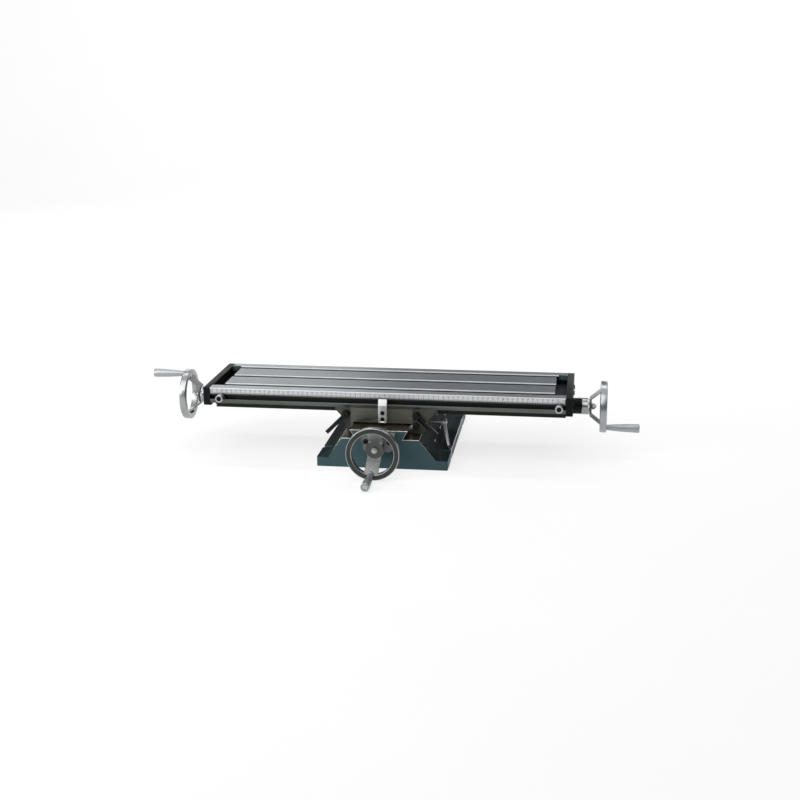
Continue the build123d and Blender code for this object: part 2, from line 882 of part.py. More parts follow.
def handwheel(seat, name):
    """Two-spoke handwheel on a seat."""
    line = Axis(seat.origin, seat.z_dir)
    rim_start = rim_reach - rim_thickness
    rim_middle = wheel_radius - rim_width / 2
    spoke_start = rim_start + spoke_rim_rise
    with BuildPart() as wheel:
        with BuildSketch(radial_plane(seat)):
            with BuildLine():
                Polyline(
                    (0, hub_start),
                    (hub_diameter / 2 - spoke_foot_inset, hub_start),
                    (rim_middle, spoke_start),
                    (rim_middle, spoke_start + spoke_thickness),
                    (rim_middle - spoke_inset, spoke_start + spoke_thickness),
                    (hub_diameter / 2 - spoke_inset, hub_end),
                    (0, hub_end),
                    close=True,
                )
            make_face()
        revolve(axis=line)
        with BuildSketch(seat):
            Rectangle(2 * wheel_radius, spoke_width)
        extrude(amount=rim_reach, mode=Mode.INTERSECT)
        with BuildSketch(seat.offset(hub_start)):
            Circle(hub_diameter / 2)
        extrude(amount=hub_thickness)
        with BuildSketch(seat.offset(dial_start)):
            Circle(sleeve_diameter / 2)
        extrude(amount=hub_start - dial_start)
        with BuildSketch(radial_plane(seat)):
            with Locations((rim_middle, rim_reach - rim_thickness / 2)):
                RectangleRounded(rim_width, rim_thickness, rim_corner)
        revolve(axis=line)
        with BuildSketch(seat.offset(rim_start + spoke_foot_inset)):
            with Locations((grip_offset, 0)):
                Circle(grip_boss_radius)
        extrude(amount=rim_thickness - spoke_foot_inset)
        with Locations(seat):
            Hole(wheel_seat_diameter / 2)
        extrude(key_face(seat), amount=key_length, mode=Mode.SUBTRACT)
        with Locations(Plane(seat.origin + seat.x_dir * grip_offset + seat.z_dir * rim_reach, z_dir=seat.z_dir)):
            Hole(spindle_diameter / 2, depth=spindle_grip)
    finish(wheel, name)
    return wheel


left_handwheel = handwheel(left_seat, "left_handwheel")
right_handwheel = handwheel(right_seat, "right_handwheel")
front_handwheel = handwheel(front_seat, "front_handwheel")


def add_nut(seat):
    """Hexagon nut that holds a wheel."""
    with BuildSketch(seat.offset(hub_end)) as hexagon:
        RegularPolygon(nut_flats / 2, 6, major_radius=False)
        Circle(stub_diameter / 2, mode=Mode.SUBTRACT)
    extrude(hexagon.sketch, amount=nut_height)


def add_spindle(seat):
    """Headed spindle that a grip turns on."""
    place = Plane(seat.origin + seat.x_dir * grip_offset, x_dir=seat.x_dir, z_dir=seat.z_dir)
    with BuildSketch(place.offset(rim_reach - spindle_grip)) as stem:
        Circle(spindle_diameter / 2)
    extrude(stem.sketch, amount=spindle_grip + seat_gap + grip_length - spindle_sink + seat_gap)
    with BuildSketch(place.offset(grip_end - spindle_sink + seat_gap)) as head:
        Circle(spindle_head_diameter / 2)
    extrude(head.sketch, amount=spindle_sink - 2 * seat_gap)


with BuildPart() as x_wheel_nuts:
    for seat in end_seats:
        add_nut(seat)
finish(x_wheel_nuts, "x_wheel_nuts")

with BuildPart() as y_wheel_nut:
    add_nut(front_seat)
finish(y_wheel_nut, "y_wheel_nut")

with BuildPart() as x_grip_spindles:
    for seat in end_seats:
        add_spindle(seat)
finish(x_grip_spindles, "x_grip_spindles")

with BuildPart() as y_grip_spindle:
    add_spindle(front_seat)
finish(y_grip_spindle, "y_grip_spindle")


def dial(seat, name):
    """Graduated dial that slips on the hub's sleeve."""
    with BuildPart() as ring:
        with BuildSketch(seat.offset(dial_start)):
            Circle(dial_diameter / 2)
            Circle(sleeve_diameter / 2 + running_clearance, mode=Mode.SUBTRACT)
        extrude(amount=dial_length)
        outer = [edge for edge in ring.edges().filter_by(GeomType.CIRCLE) if edge.radius > dial_diameter / 2 - near]
        chamfer(outer, length=dial_bevel)
    finish(ring, name)
    return ring


def grip(seat, name):
    """Tapered grip, turned about the spindle's line, with its head sunk in the end."""
    place = radial_plane(seat, grip_offset)
    bore = spindle_diameter / 2 + running_clearance
    sink = spindle_head_diameter / 2 + seat_gap
    with BuildPart() as handle:
        with BuildSketch(place):
            with BuildLine():
                Polyline((grip_neck_radius, grip_start), (bore, grip_start), (bore, grip_end - spindle_sink),
                         (sink, grip_end - spindle_sink), (sink, grip_end), (grip_radius - grip_corner, grip_end))
                RadiusArc((grip_radius - grip_corner, grip_end), (grip_radius, grip_end - grip_corner), grip_corner)
                Line((grip_radius, grip_end - grip_corner), (grip_radius, grip_end - grip_full_drop))
                ThreePointArc((grip_radius, grip_end - grip_full_drop),
                              (grip_waist_radius, grip_start + grip_waist_rise), (grip_neck_radius, grip_start))
            make_face()
        revolve(axis=Axis(place.origin, seat.z_dir))
    finish(handle, name)
    return handle


left_dial = dial(left_seat, "left_dial")
right_dial = dial(right_seat, "right_dial")
front_dial = dial(front_seat, "front_dial")
left_grip = grip(left_seat, "left_grip")
right_grip = grip(right_seat, "right_grip")
front_grip = grip(front_seat, "front_grip")


# Nuts of the two screws, bolted to the saddle

x_nut_place = Plane((saddle_centre_x, saddle_rest_y, saddle_floor))
y_nut_place = Plane((slide_x, saddle_rest_y, saddle_roof))
x_nut_line = Plane((saddle_centre_x, saddle_rest_y, x_screw_height), x_dir=(0, 1, 0), z_dir=(1, 0, 0))
y_nut_line = Plane((slide_x, saddle_rest_y, y_screw_height), z_dir=(0, -1, 0))
x_nut_holes = GridLocations(nut_screw_spacing, x_nut_width + x_nut_ear, 2, 2)
y_nut_holes = GridLocations(nut_screw_spacing, 2 * y_nut_screw_offset, 2, 2)


def under(plane, spots):
    """Planes parallel to a plane, moved to its spots."""
    return [Plane(plane.from_local_coords(spot.position), x_dir=plane.x_dir, z_dir=plane.z_dir) for spot in spots]


with BuildPart() as x_nut:
    with BuildSketch(x_nut_place.offset(-nut_seat_depth)):
        Rectangle(x_nut_length, x_nut_width)
    extrude(amount=channel_top - x_nut_crown - saddle_floor + nut_seat_depth)
    with BuildSketch(x_nut_place):
        Rectangle(x_nut_length, x_nut_width + 2 * x_nut_ear)
    extrude(amount=x_nut_ear_thickness)
    with BuildSketch(x_nut_line):
        Circle(screw_radius + running_clearance)
    extrude(amount=x_nut_length, both=True, mode=Mode.SUBTRACT)
    with Locations(*under(x_nut_place.offset(x_nut_ear_thickness), x_nut_holes)):
        Hole(nut_screw_diameter / 2)
finish(x_nut, "x_nut")

with BuildPart() as y_nut:
    with BuildSketch(y_nut_place):
        Rectangle(y_nut_width, y_nut_length)
    extrude(amount=-(saddle_roof - y_nut_foot))
    with BuildSketch(y_nut_place):
        Rectangle(y_nut_width, y_nut_flange_length)
    extrude(amount=-y_nut_flange_thickness)
    with BuildSketch(y_nut_line):
        Circle(screw_radius + running_clearance)
    extrude(amount=y_nut_length, both=True, mode=Mode.SUBTRACT)
    with Locations(*under(y_nut_place, y_nut_holes)):
        Hole(nut_screw_diameter / 2)
finish(y_nut, "y_nut")


def add_cap_screws(places, head, head_length, diameter, length):
    """Socket screws: each place is where a head sits, facing out of the work."""
    with BuildSketch(*places) as heads:
        Circle(head / 2)
    extrude(heads.sketch, amount=head_length)
    with BuildSketch(*places) as shanks:
        Circle(diameter / 2)
    extrude(shanks.sketch, amount=-length)


with BuildPart() as x_nut_screws:
    add_cap_screws(under(x_nut_place.offset(x_nut_ear_thickness), x_nut_holes), nut_screw_head,
                   nut_screw_head_height, nut_screw_diameter, nut_screw_length)
finish(x_nut_screws, "x_nut_screws")

with BuildPart() as y_nut_screws:
    seats = y_nut_place.offset(saddle_floor - saddle_roof - nut_screw_head_height - counterbore_gap)
    add_cap_screws(under(seats, y_nut_holes), nut_screw_head, nut_screw_head_height, nut_screw_diameter,
                   nut_screw_length - nut_screw_head_height)
finish(y_nut_screws, "y_nut_screws")

with BuildPart() as saddle_gib_screws:
    add_cap_screws(gib_screw_seats, gib_screw_head, gib_screw_head_length, gib_screw_diameter,
                   gib_screw_length - screw_tip_gap)
finish(saddle_gib_screws, "saddle_gib_screws")

with BuildPart() as table_gib_screws:
    add_cap_screws([mouth.offset(-side_screw_sink) for mouth in side_screw_mouths], side_screw_head,
                   side_screw_head_length, gib_screw_diameter, side_screw_length)
finish(table_gib_screws, "table_gib_screws")


# Pointer block on the saddle's front

with BuildPart() as pointer_block:
    front = saddle_front - pointer_thickness
    top = pointer_foot + pointer_height
    with BuildSketch(Plane.YZ.offset(slide_x)):
        with BuildLine():
            Polyline(
                (saddle_front, pointer_foot),
                (saddle_front, saddle_top),
                (saddle_front - pointer_relief, saddle_top),
                (saddle_front - pointer_relief, top),
                (front + pointer_bevel_depth, top),
                (front, top - pointer_bevel_height),
                (front, pointer_foot),
                close=True,
            )
        make_face()
    extrude(amount=pointer_width / 2, both=True)
    with Locations(*[Plane((slide_x, front, z), z_dir=(0, -1, 0)) for z in pointer_screw_heights]):
        CounterBoreHole(nut_screw_diameter / 2, nut_screw_head / 2 + seat_gap, pointer_screw_sink)
finish(pointer_block, "pointer_block")

with BuildPart() as pointer_screws:
    heads = [Plane((slide_x, front + pointer_screw_sink, z), z_dir=(0, -1, 0)) for z in pointer_screw_heights]
    add_cap_screws(heads, nut_screw_head, nut_screw_head_height, nut_screw_diameter,
                   pointer_thickness - pointer_screw_sink + pointer_screw_reach - screw_tip_gap)
finish(pointer_screws, "pointer_screws")


# Locks of the table: screws through the saddle's front that press brass pads on the gib

def pad_face(height):
    """How far in front the gib's outer face lies at a height."""
    return saddle_rest_y - table_half_width(height) - flank_gap - gib_width


def side_pad_face(height):
    """Where the lower gib's outer face lies at a height."""
    return slide_x + base_half_width(height) + flank_gap + gib_width


pad_back = pad_face(lock_height - pad_radius) - pad_length
side_pad_back = side_pad_face(side_lock_height + side_pad_radius) + pad_length

with BuildPart() as table_lock_pads:
    low, high = lock_height - pad_radius, lock_height + pad_radius
    with BuildSketch(Plane.YZ.offset(left_lock_x), Plane.YZ.offset(right_lock_x)):
        with BuildLine():
            Polyline((pad_back, low), (pad_face(low), low), (pad_face(high), high), (pad_back, high), close=True)
        make_face()
    extrude(amount=pad_radius, both=True)
    with BuildSketch(*[Plane((x, pad_back, lock_height), z_dir=(0, 1, 0)) for x in (left_lock_x, right_lock_x)]):
        Circle(pad_radius)
    extrude(amount=2 * gib_thickness + pad_length, mode=Mode.INTERSECT)
finish(table_lock_pads, "table_lock_pads")

with BuildPart() as saddle_lock_pad:
    low, high = side_lock_height - side_pad_radius, side_lock_height + side_pad_radius
    with BuildSketch(Plane.XZ.offset(-side_lock_y)):
        with BuildLine():
            Polyline((side_pad_face(low), low), (side_pad_back, low), (side_pad_back, high),
                     (side_pad_face(high), high), close=True)
        make_face()
    extrude(amount=side_pad_radius, both=True)
    with BuildSketch(Plane((side_pad_back, side_lock_y, side_lock_height), z_dir=(-1, 0, 0))):
        Circle(side_pad_radius)
    extrude(amount=2 * gib_thickness + pad_length, mode=Mode.INTERSECT)
finish(saddle_lock_pad, "saddle_lock_pad")

lock_face = saddle_front + wing_relief - seat_gap
lock_outer = lock_face - lock_hub_length


def lock_lever(across, angle, name):
    """Clamping lever: a hub with a flat bar that points at an angle in the front view."""
    with BuildPart() as lever:
        with BuildSketch(Plane((across, lock_face, lock_height), x_dir=(1, 0, 0), z_dir=(0, -1, 0))):
            Circle(lock_hub_diameter / 2)
        extrude(amount=lock_hub_length)
        bar_face = lock_face - lock_bar_setback
        with BuildSketch(Plane((across, bar_face, lock_height), x_dir=(1, 0, 0), z_dir=(0, -1, 0))):
            with Locations(Rotation(0, 0, angle)):
                with Locations((lock_bar_length / 2, 0)):
                    Rectangle(lock_bar_length, lock_bar_width)
        extrude(amount=lock_bar_thickness)
        chamfer(lever.faces().sort_by(Axis.Y)[0].edges(), length=edge_bevel)
        with Locations(Plane((across, lock_outer, lock_height), z_dir=(0, -1, 0))):
            Hole(lock_screw_diameter / 2)
    finish(lever, name)
    return lever


def lock_screw(across, name):
    """Screw that a clamping lever turns."""
    with BuildPart() as screw:
        add_cap_screws([Plane((across, lock_outer, lock_height), z_dir=(0, -1, 0))], lock_head_diameter,
                       lock_head_height, lock_screw_diameter, pad_back - seat_gap - lock_outer)
    finish(screw, name)
    return screw


left_lock_lever = lock_lever(left_lock_x, left_lock_angle, "left_lock_lever")
left_lock_screw = lock_screw(left_lock_x, "left_lock_screw")
right_lock_lever = lock_lever(right_lock_x, right_lock_angle, "right_lock_lever")
right_lock_screw = lock_screw(right_lock_x, "right_lock_screw")


# Lock of the saddle: a ball lever on a screw through its right leg

arm_start = Vector(side_hub_x + side_hub_length / 2, side_lock_y, side_lock_height)
arm_line = Vector(*side_arm_end) - arm_start
arm_plane = Plane(arm_start, z_dir=arm_line)
side_screw_end = side_hub_x + side_hub_length + side_screw_stand
arm_reach = arm_line.length - side_knob_radius + side_knob_seat

with BuildPart() as saddle_lock_lever:
    with BuildSketch(Plane.YZ.offset(side_hub_x)):
        with Locations((side_lock_y, side_lock_height)):
            Circle(side_hub_diameter / 2)
    extrude(amount=side_hub_length)
    with BuildSketch(arm_plane):
        Circle(side_arm_radius)
    with BuildSketch(arm_plane.offset(arm_reach)):
        Circle(side_arm_tip_radius)
    loft()
    with BuildSketch(arm_plane.offset(arm_reach)):
        Circle(side_pin_radius)
    extrude(amount=side_knob_radius - screw_tip_gap)
    with Locations(Plane((side_hub_x + side_hub_length, side_lock_y, side_lock_height), z_dir=(1, 0, 0))):
        Hole(side_lock_diameter / 2)
finish(saddle_lock_lever, "saddle_lock_lever")

with BuildPart() as saddle_lock_screw:
    with BuildSketch(Plane.YZ.offset(side_screw_end)):
        with Locations((side_lock_y, side_lock_height)):
            Circle(side_lock_diameter / 2)
    extrude(amount=-(side_screw_end - side_pad_back - seat_gap))
finish(saddle_lock_screw, "saddle_lock_screw")

with BuildPart() as saddle_lock_knob:
    with Locations(arm_plane.offset(arm_line.length)):
        Sphere(side_knob_radius)
    with BuildSketch(arm_plane.offset(arm_reach)):
        Circle(side_arm_tip_radius)
    extrude(amount=-side_knob_radius, mode=Mode.SUBTRACT)
    with BuildSketch(arm_plane.offset(arm_reach)):
        Circle(side_pin_radius)
    extrude(amount=side_knob_radius, mode=Mode.SUBTRACT)
finish(saddle_lock_knob, "saddle_lock_knob")


# Stops of the table in its side slot

stop_height = table_top - side_slot_centre
stop_back = table_front - seat_gap
stop_outer = stop_back - stop_length


def stop(across, side):
    """One stop: a sleeve in front of the table, held by a screw in a T-nut."""
    line = Plane((across, stop_outer, stop_height), x_dir=(1, 0, 0), z_dir=(0, -1, 0))
    seat = line.offset(-stop_head_length - edge_bevel)
    neck_back = table_front + side_slot_neck_depth + seat_gap
    head_back = table_front + side_slot_neck_depth + side_slot_head_depth - seat_gap
    with BuildPart() as sleeve:
        with BuildSketch(line):
            Circle(stop_diameter / 2)
        extrude(amount=-stop_length)
        chamfer(sleeve.faces().sort_by(Axis.Y)[0].edges(), length=edge_bevel)
        with Locations(line):
            CounterBoreHole(stop_screw_diameter / 2, stop_screw_head / 2 + seat_gap, stop_head_length + edge_bevel)
    finish(sleeve, f"{side}_stop_sleeve")
    with BuildPart() as nut:
        with BuildSketch(Plane((across, neck_back, stop_height), x_dir=(1, 0, 0), z_dir=(0, 1, 0))):
            Rectangle(stop_nut_length, side_slot_head_width - 2 * seat_gap)
        extrude(amount=head_back - neck_back)
        with BuildSketch(Plane((across, neck_back, stop_height), x_dir=(1, 0, 0), z_dir=(0, -1, 0))):
            Rectangle(stop_nut_length, side_slot_width - 2 * seat_gap)
        extrude(amount=side_slot_neck_depth - seat_gap)
        with Locations(line.offset(stop_outer - table_front)):
            Hole(stop_screw_diameter / 2)
    finish(nut, f"{side}_stop_nut")
    with BuildPart() as screw:
        add_cap_screws([seat], stop_screw_head, stop_head_length, stop_screw_diameter,
                       head_back - counterbore_gap - seat.origin.Y)
    finish(screw, f"{side}_stop_screw")
    return sleeve, nut, screw


left_stop = stop(left_stop_x, "left")
right_stop = stop(right_stop_x, "right")
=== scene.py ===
"""Looks of a two-axis cross slide table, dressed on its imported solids.

Metres, in the solids' frame: X along the table, Y to the rear, Z up.
"""
import json
import math

import bmesh
import bpy
from mathutils import Matrix, Vector

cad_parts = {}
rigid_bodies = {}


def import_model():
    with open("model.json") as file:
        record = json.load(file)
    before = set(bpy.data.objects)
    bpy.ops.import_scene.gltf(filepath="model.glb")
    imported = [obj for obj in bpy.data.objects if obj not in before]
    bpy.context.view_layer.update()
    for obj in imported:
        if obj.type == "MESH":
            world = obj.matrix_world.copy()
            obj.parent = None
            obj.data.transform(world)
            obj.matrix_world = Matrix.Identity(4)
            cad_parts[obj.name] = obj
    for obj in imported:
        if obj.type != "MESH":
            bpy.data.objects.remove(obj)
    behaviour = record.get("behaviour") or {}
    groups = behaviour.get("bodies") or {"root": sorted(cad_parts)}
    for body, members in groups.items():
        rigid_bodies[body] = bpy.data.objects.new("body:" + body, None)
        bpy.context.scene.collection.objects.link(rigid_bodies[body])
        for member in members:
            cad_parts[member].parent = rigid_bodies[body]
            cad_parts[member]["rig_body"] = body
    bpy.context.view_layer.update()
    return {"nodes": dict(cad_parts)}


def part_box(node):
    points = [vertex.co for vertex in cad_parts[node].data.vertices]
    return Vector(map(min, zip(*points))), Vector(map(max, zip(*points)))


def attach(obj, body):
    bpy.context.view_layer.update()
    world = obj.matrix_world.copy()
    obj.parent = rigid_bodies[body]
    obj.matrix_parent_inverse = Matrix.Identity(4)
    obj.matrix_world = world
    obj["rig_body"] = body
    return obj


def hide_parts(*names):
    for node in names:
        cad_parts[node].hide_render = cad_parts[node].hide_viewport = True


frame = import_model()
MM = 0.001
GAP = 0.3 * MM

# Camera, as the photograph was taken
CAMERA_PLACE = Vector((0.4004, -2.7541, 0.8539))
CAMERA_YAW = -0.1408
CAMERA_PITCH = 0.268
CAMERA_ROLL = -0.0058
CAMERA_LENS = 60.38


def add_camera():
    """The photograph's camera, from its place, its turns and its lens."""
    forward = Vector((
        math.sin(CAMERA_YAW) * math.cos(CAMERA_PITCH),
        math.cos(CAMERA_YAW) * math.cos(CAMERA_PITCH),
        -math.sin(CAMERA_PITCH),
    ))
    level = Vector((math.cos(CAMERA_YAW), -math.sin(CAMERA_YAW), 0))
    upward = level.cross(forward)
    right = level * math.cos(CAMERA_ROLL) + upward * math.sin(CAMERA_ROLL)
    above = upward * math.cos(CAMERA_ROLL) - level * math.sin(CAMERA_ROLL)
    data = bpy.data.cameras.new("photo_camera")
    data.lens = CAMERA_LENS
    camera = bpy.data.objects.new("photo_camera", data)
    turn = Matrix((right, above, -forward)).transposed().to_4x4()
    camera.matrix_world = Matrix.Translation(CAMERA_PLACE) @ turn
    bpy.context.scene.collection.objects.link(camera)
    bpy.context.scene.camera = camera


add_camera()


# Shader nodes

def add_node(tree, kind, inputs=(), **settings):
    """A shader node with its settings; an input that is a socket is linked."""
    made = tree.nodes.new("ShaderNode" + kind)
    for name, value in settings.items():
        setattr(made, name, value)
    for key, value in dict(inputs).items():
        if isinstance(value, bpy.types.NodeSocket):
            tree.links.new(value, made.inputs[key])
        else:
            made.inputs[key].default_value = value
    return made


def calc(tree, operation, first, second=0.0, third=0.0):
    """Result of a math node."""
    return add_node(tree, "Math", {0: first, 1: second, 2: third}, operation=operation).outputs[0]


def remap(tree, value, low, high, new_low, new_high):
    """A value taken from one range to another."""
    inputs = {"Value": value, "From Min": low, "From Max": high, "To Min": new_low, "To Max": new_high}
    return add_node(tree, "MapRange", inputs).outputs["Result"]


def mix(tree, factor, first, second):
    """Colour between two colours."""
    return add_node(tree, "Mix", {0: factor, 6: first, 7: second}, data_type="RGBA").outputs[2]


def stretch(tree, place, scale):
    """Places scaled differently along each axis."""
    return add_node(tree, "Mapping", {"Vector": place, "Scale": scale}).outputs["Vector"]


def noise(tree, place, scale, detail=3.0):
    """Noise value at a place."""
    inputs = {"Vector": place, "Scale": scale, "Detail": detail}
    return add_node(tree, "TexNoise", inputs).outputs["Fac"]


def object_place(tree):
    """Place of a point in its object's own frame."""
    return add_node(tree, "TexCoord").outputs["Object"]


def rgba(color):
    """A colour with full alpha."""
    return (*color, 1.0)


def new_material(name, metallic, roughness, **sockets):
    """Material with a Principled shader, its tree and that shader."""
    material = bpy.data.materials.new(name)
    material.use_nodes = True
    shader = material.node_tree.nodes["Principled BSDF"]
    shader.inputs["Metallic"].default_value = metallic
    shader.inputs["Roughness"].default_value = roughness
    for socket, value in sockets.items():
        shader.inputs[socket.replace("_", " ")].default_value = value
    return material, material.node_tree, shader


def set_bump(tree, shader, height, distance):
    """Bump of a height field, its full height given in metres."""
    bump = add_node(tree, "Bump", {"Height": height, "Distance": distance, "Strength": 1.0})
    tree.links.new(bump.outputs["Normal"], shader.inputs["Normal"])


NOISE_LOW = 0.3
NOISE_HIGH = 0.7
PEEL_HEIGHT = 0.05 * MM
SCRATCH_DEPTH = 0.012 * MM
RULE_SCRATCH_DEPTH = 0.008 * MM
RING_DEPTH = 0.006 * MM
TICK_DEPTH = 0.03 * MM
BAND_BLUR = 0.15 * MM


def spread(tree, value, low=0, high=1):
    """A noise value's usual range taken to another range."""
    return remap(tree, value, NOISE_LOW, NOISE_HIGH, low, high)


def set_surface(tree, shader, color, value, smooth, rough):
    """Base colour, and a roughness that follows a noise value."""
    tree.links.new(color, shader.inputs["Base Color"])
    tree.links.new(spread(tree, value, smooth, rough), shader.inputs["Roughness"])


def painted(name, color, shade, roughness, gloss=0.22):
    """Enamel over a casting: slow changes of tone, an orange-peel surface and a little dust."""
    material, tree, shader = new_material(name, 0.0, roughness, Specular_IOR_Level=gloss)
    place = object_place(tree)
    slow = noise(tree, place, 14)
    peel = noise(tree, place, 500, 5)
    dust = remap(tree, noise(tree, place, 1900, 1), 0.68, 0.74, 0, 0.35)
    tone = mix(tree, spread(tree, slow), rgba(color), rgba(shade))
    dusty = mix(tree, dust, tone, rgba([part + 0.04 for part in color]))
    set_surface(tree, shader, dusty, slow, roughness - 0.07, roughness + 0.07)
    set_bump(tree, shader, peel, PEEL_HEIGHT)
    return material


GRAIN = {"x": (5, 1100, 1100), "y": (1100, 5, 1100), "z": (1100, 1100, 5), "all": (260, 260, 260)}


def grain_and_tone(tree, place, along):
    """Fine grain along one axis, and a streaky tone from 0 to 1 that follows it."""
    grain = noise(tree, stretch(tree, place, GRAIN[along]), 1, 4)
    slow = noise(tree, place, 11)
    streak = calc(tree, "ADD", calc(tree, "MULTIPLY", grain, 0.7), calc(tree, "MULTIPLY", slow, 0.3))
    return grain, remap(tree, streak, 0.35, 0.65, 0, 1)


def ground(name, color, shade, along, roughness, metallic=1.0):
    """Ground or milled metal, with its grain along one axis."""
    material, tree, shader = new_material(name, metallic, roughness)
    grain, tone = grain_and_tone(tree, object_place(tree), along)
    streaked = mix(tree, tone, rgba(shade), rgba(color))
    set_surface(tree, shader, streaked, grain, roughness - 0.06, roughness + 0.09)
    set_bump(tree, shader, grain, SCRATCH_DEPTH)
    return material


def banded(name, above, below, height, roughness=0.36):
    """Ground metal along X with a painted highlight: a bright band above a height."""
    material, tree, shader = new_material(name, 1.0, roughness)
    place = object_place(tree)
    grain, tone = grain_and_tone(tree, place, "x")
    apart = add_node(tree, "SeparateXYZ", {0: place})
    highlight_share = remap(tree, apart.outputs["Z"], height - BAND_BLUR, height + BAND_BLUR, 0, 1)
    upper = mix(tree, tone, rgba([0.8 * part for part in above]), rgba(above))
    lower = mix(tree, tone, rgba([0.6 * part for part in below]), rgba(below))
    both = mix(tree, highlight_share, lower, upper)
    set_surface(tree, shader, both, grain, roughness - 0.06, roughness + 0.09)
    # Inside the band the metal turns into a bright diffuse colour, which makes the painted highlight.
    tree.links.new(remap(tree, highlight_share, 0, 1, 1, 0.1), shader.inputs["Metallic"])
    set_bump(tree, shader, grain, SCRATCH_DEPTH)
    return material


def radius_of(tree, place):
    """Distance of a place from its object's Z axis."""
    flat = add_node(tree, "VectorMath", {0: place, 1: (1, 1, 0)}, operation="MULTIPLY").outputs["Vector"]
    return add_node(tree, "VectorMath", {0: flat}, operation="LENGTH").outputs["Value"]


def turned(name, color, shade, roughness, metallic=1.0):
    """Metal turned about its object's Z axis, with the tool's rings."""
    material, tree, shader = new_material(name, metallic, roughness)
    place = object_place(tree)
    apart = add_node(tree, "SeparateXYZ", {0: place})
    ringed = add_node(tree, "CombineXYZ", {"X": radius_of(tree, place), "Z": apart.outputs["Z"]}).outputs[0]
    tool_marks = noise(tree, ringed, 1500, 3)
    slow = noise(tree, place, 30)
    patchy = mix(tree, slow, rgba(shade), rgba(color))
    set_surface(tree, shader, patchy, tool_marks, roughness - 0.05, roughness + 0.09)
    set_bump(tree, shader, tool_marks, RING_DEPTH)
    return material


def sprinkled(name, color, shade, roughness, metallic, lumps=0.00004, scale=350):
    """Cast or blackened metal: a fine even texture with patches of tone."""
    material, tree, shader = new_material(name, metallic, roughness)
    place = object_place(tree)
    fine = noise(tree, place, scale, 5)
    slow = noise(tree, place, 22)
    tone = calc(tree, "MULTIPLY", calc(tree, "ADD", fine, slow), 0.5)
    mottled = mix(tree, remap(tree, tone, 0.35, 0.65, 0, 1), rgba(shade), rgba(color))
    set_surface(tree, shader, mottled, fine, roughness - 0.08, roughness + 0.08)
    set_bump(tree, shader, fine, lumps)
    return material


def tick_mask(tree, turn, count, width):
    """1 on evenly spaced ticks of a value that runs from 0 to 1; width is a tick's share of a step."""
    step = calc(tree, "FRACT", calc(tree, "ADD", calc(tree, "MULTIPLY", turn, count), 0.5))
    return calc(tree, "LESS_THAN", calc(tree, "ABSOLUTE", calc(tree, "SUBTRACT", step, 0.5)), width / 2)


def ticks(tree, turn, height, classes):
    """1 on the ticks of a scale's classes."""
    total = None
    for count, width, reach in classes:
        near = calc(tree, "LESS_THAN", height, reach)
        mask = calc(tree, "MULTIPLY", tick_mask(tree, turn, count, width), near)
        total = mask if total is None else calc(tree, "MAXIMUM", total, mask)
    return total


DIAL_STEPS = 50

# Each class of ticks: how many, a tick's share of a step, and its height
DIAL_TICKS = (
    (DIAL_STEPS, 0.1, 2.2 * MM),
    (DIAL_STEPS / 5, 0.02, 3.1 * MM),
    (DIAL_STEPS / 10, 0.01, 4 * MM),
)
RULE_TICKS = ((1000, 0.25, 2.6 * MM), (200, 0.08, 3.6 * MM), (100, 0.07, 5 * MM))


def graduated(name, color, start):
    """Satin chrome ring with dark ticks round it, which begin at a distance along its Z axis."""
    material, tree, shader = new_material(name, 1.0, 0.22)
    place = object_place(tree)
    apart = add_node(tree, "SeparateXYZ", {0: place})
    angle = calc(tree, "ARCTAN2", apart.outputs["Y"], apart.outputs["X"])
    turn = calc(tree, "DIVIDE", angle, math.tau)
    height = calc(tree, "SUBTRACT", apart.outputs["Z"], start)
    mask = ticks(tree, turn, height, DIAL_TICKS)
    tool_marks = noise(tree, stretch(tree, place, (40, 40, 1800)), 1, 2)
    ticked = mix(tree, mask, rgba(color), rgba((0.02, 0.02, 0.022)))
    set_surface(tree, shader, ticked, tool_marks, 0.18, 0.3)
    set_bump(tree, shader, calc(tree, "SUBTRACT", tool_marks, mask), TICK_DEPTH)
    return material


def ruled(name, color, low):
    """Satin steel rule with millimetre ticks that stand on its lower edge."""
    material, tree, shader = new_material(name, 0.75, 0.34)
    place = object_place(tree)
    apart = add_node(tree, "SeparateXYZ", {0: place})
    height = calc(tree, "SUBTRACT", apart.outputs["Z"], low)
    mask = ticks(tree, apart.outputs["X"], height, RULE_TICKS)
    grain = noise(tree, stretch(tree, place, (6, 900, 900)), 1, 3)
    clean = mix(tree, spread(tree, grain), rgba(color), rgba([0.86 * part for part in color]))
    ticked = mix(tree, mask, clean, rgba((0.03, 0.03, 0.03)))
    set_surface(tree, shader, ticked, grain, 0.3, 0.42)
    set_bump(tree, shader, grain, RULE_SCRATCH_DEPTH)
    return material


# Meshes

PIECE_SHARP_TURN = math.radians(35)
SMOOTH_TURN = math.radians(28)


def middle_of(node):
    """Middle of a node's box."""
    low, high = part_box(node)
    return (low + high) / 2


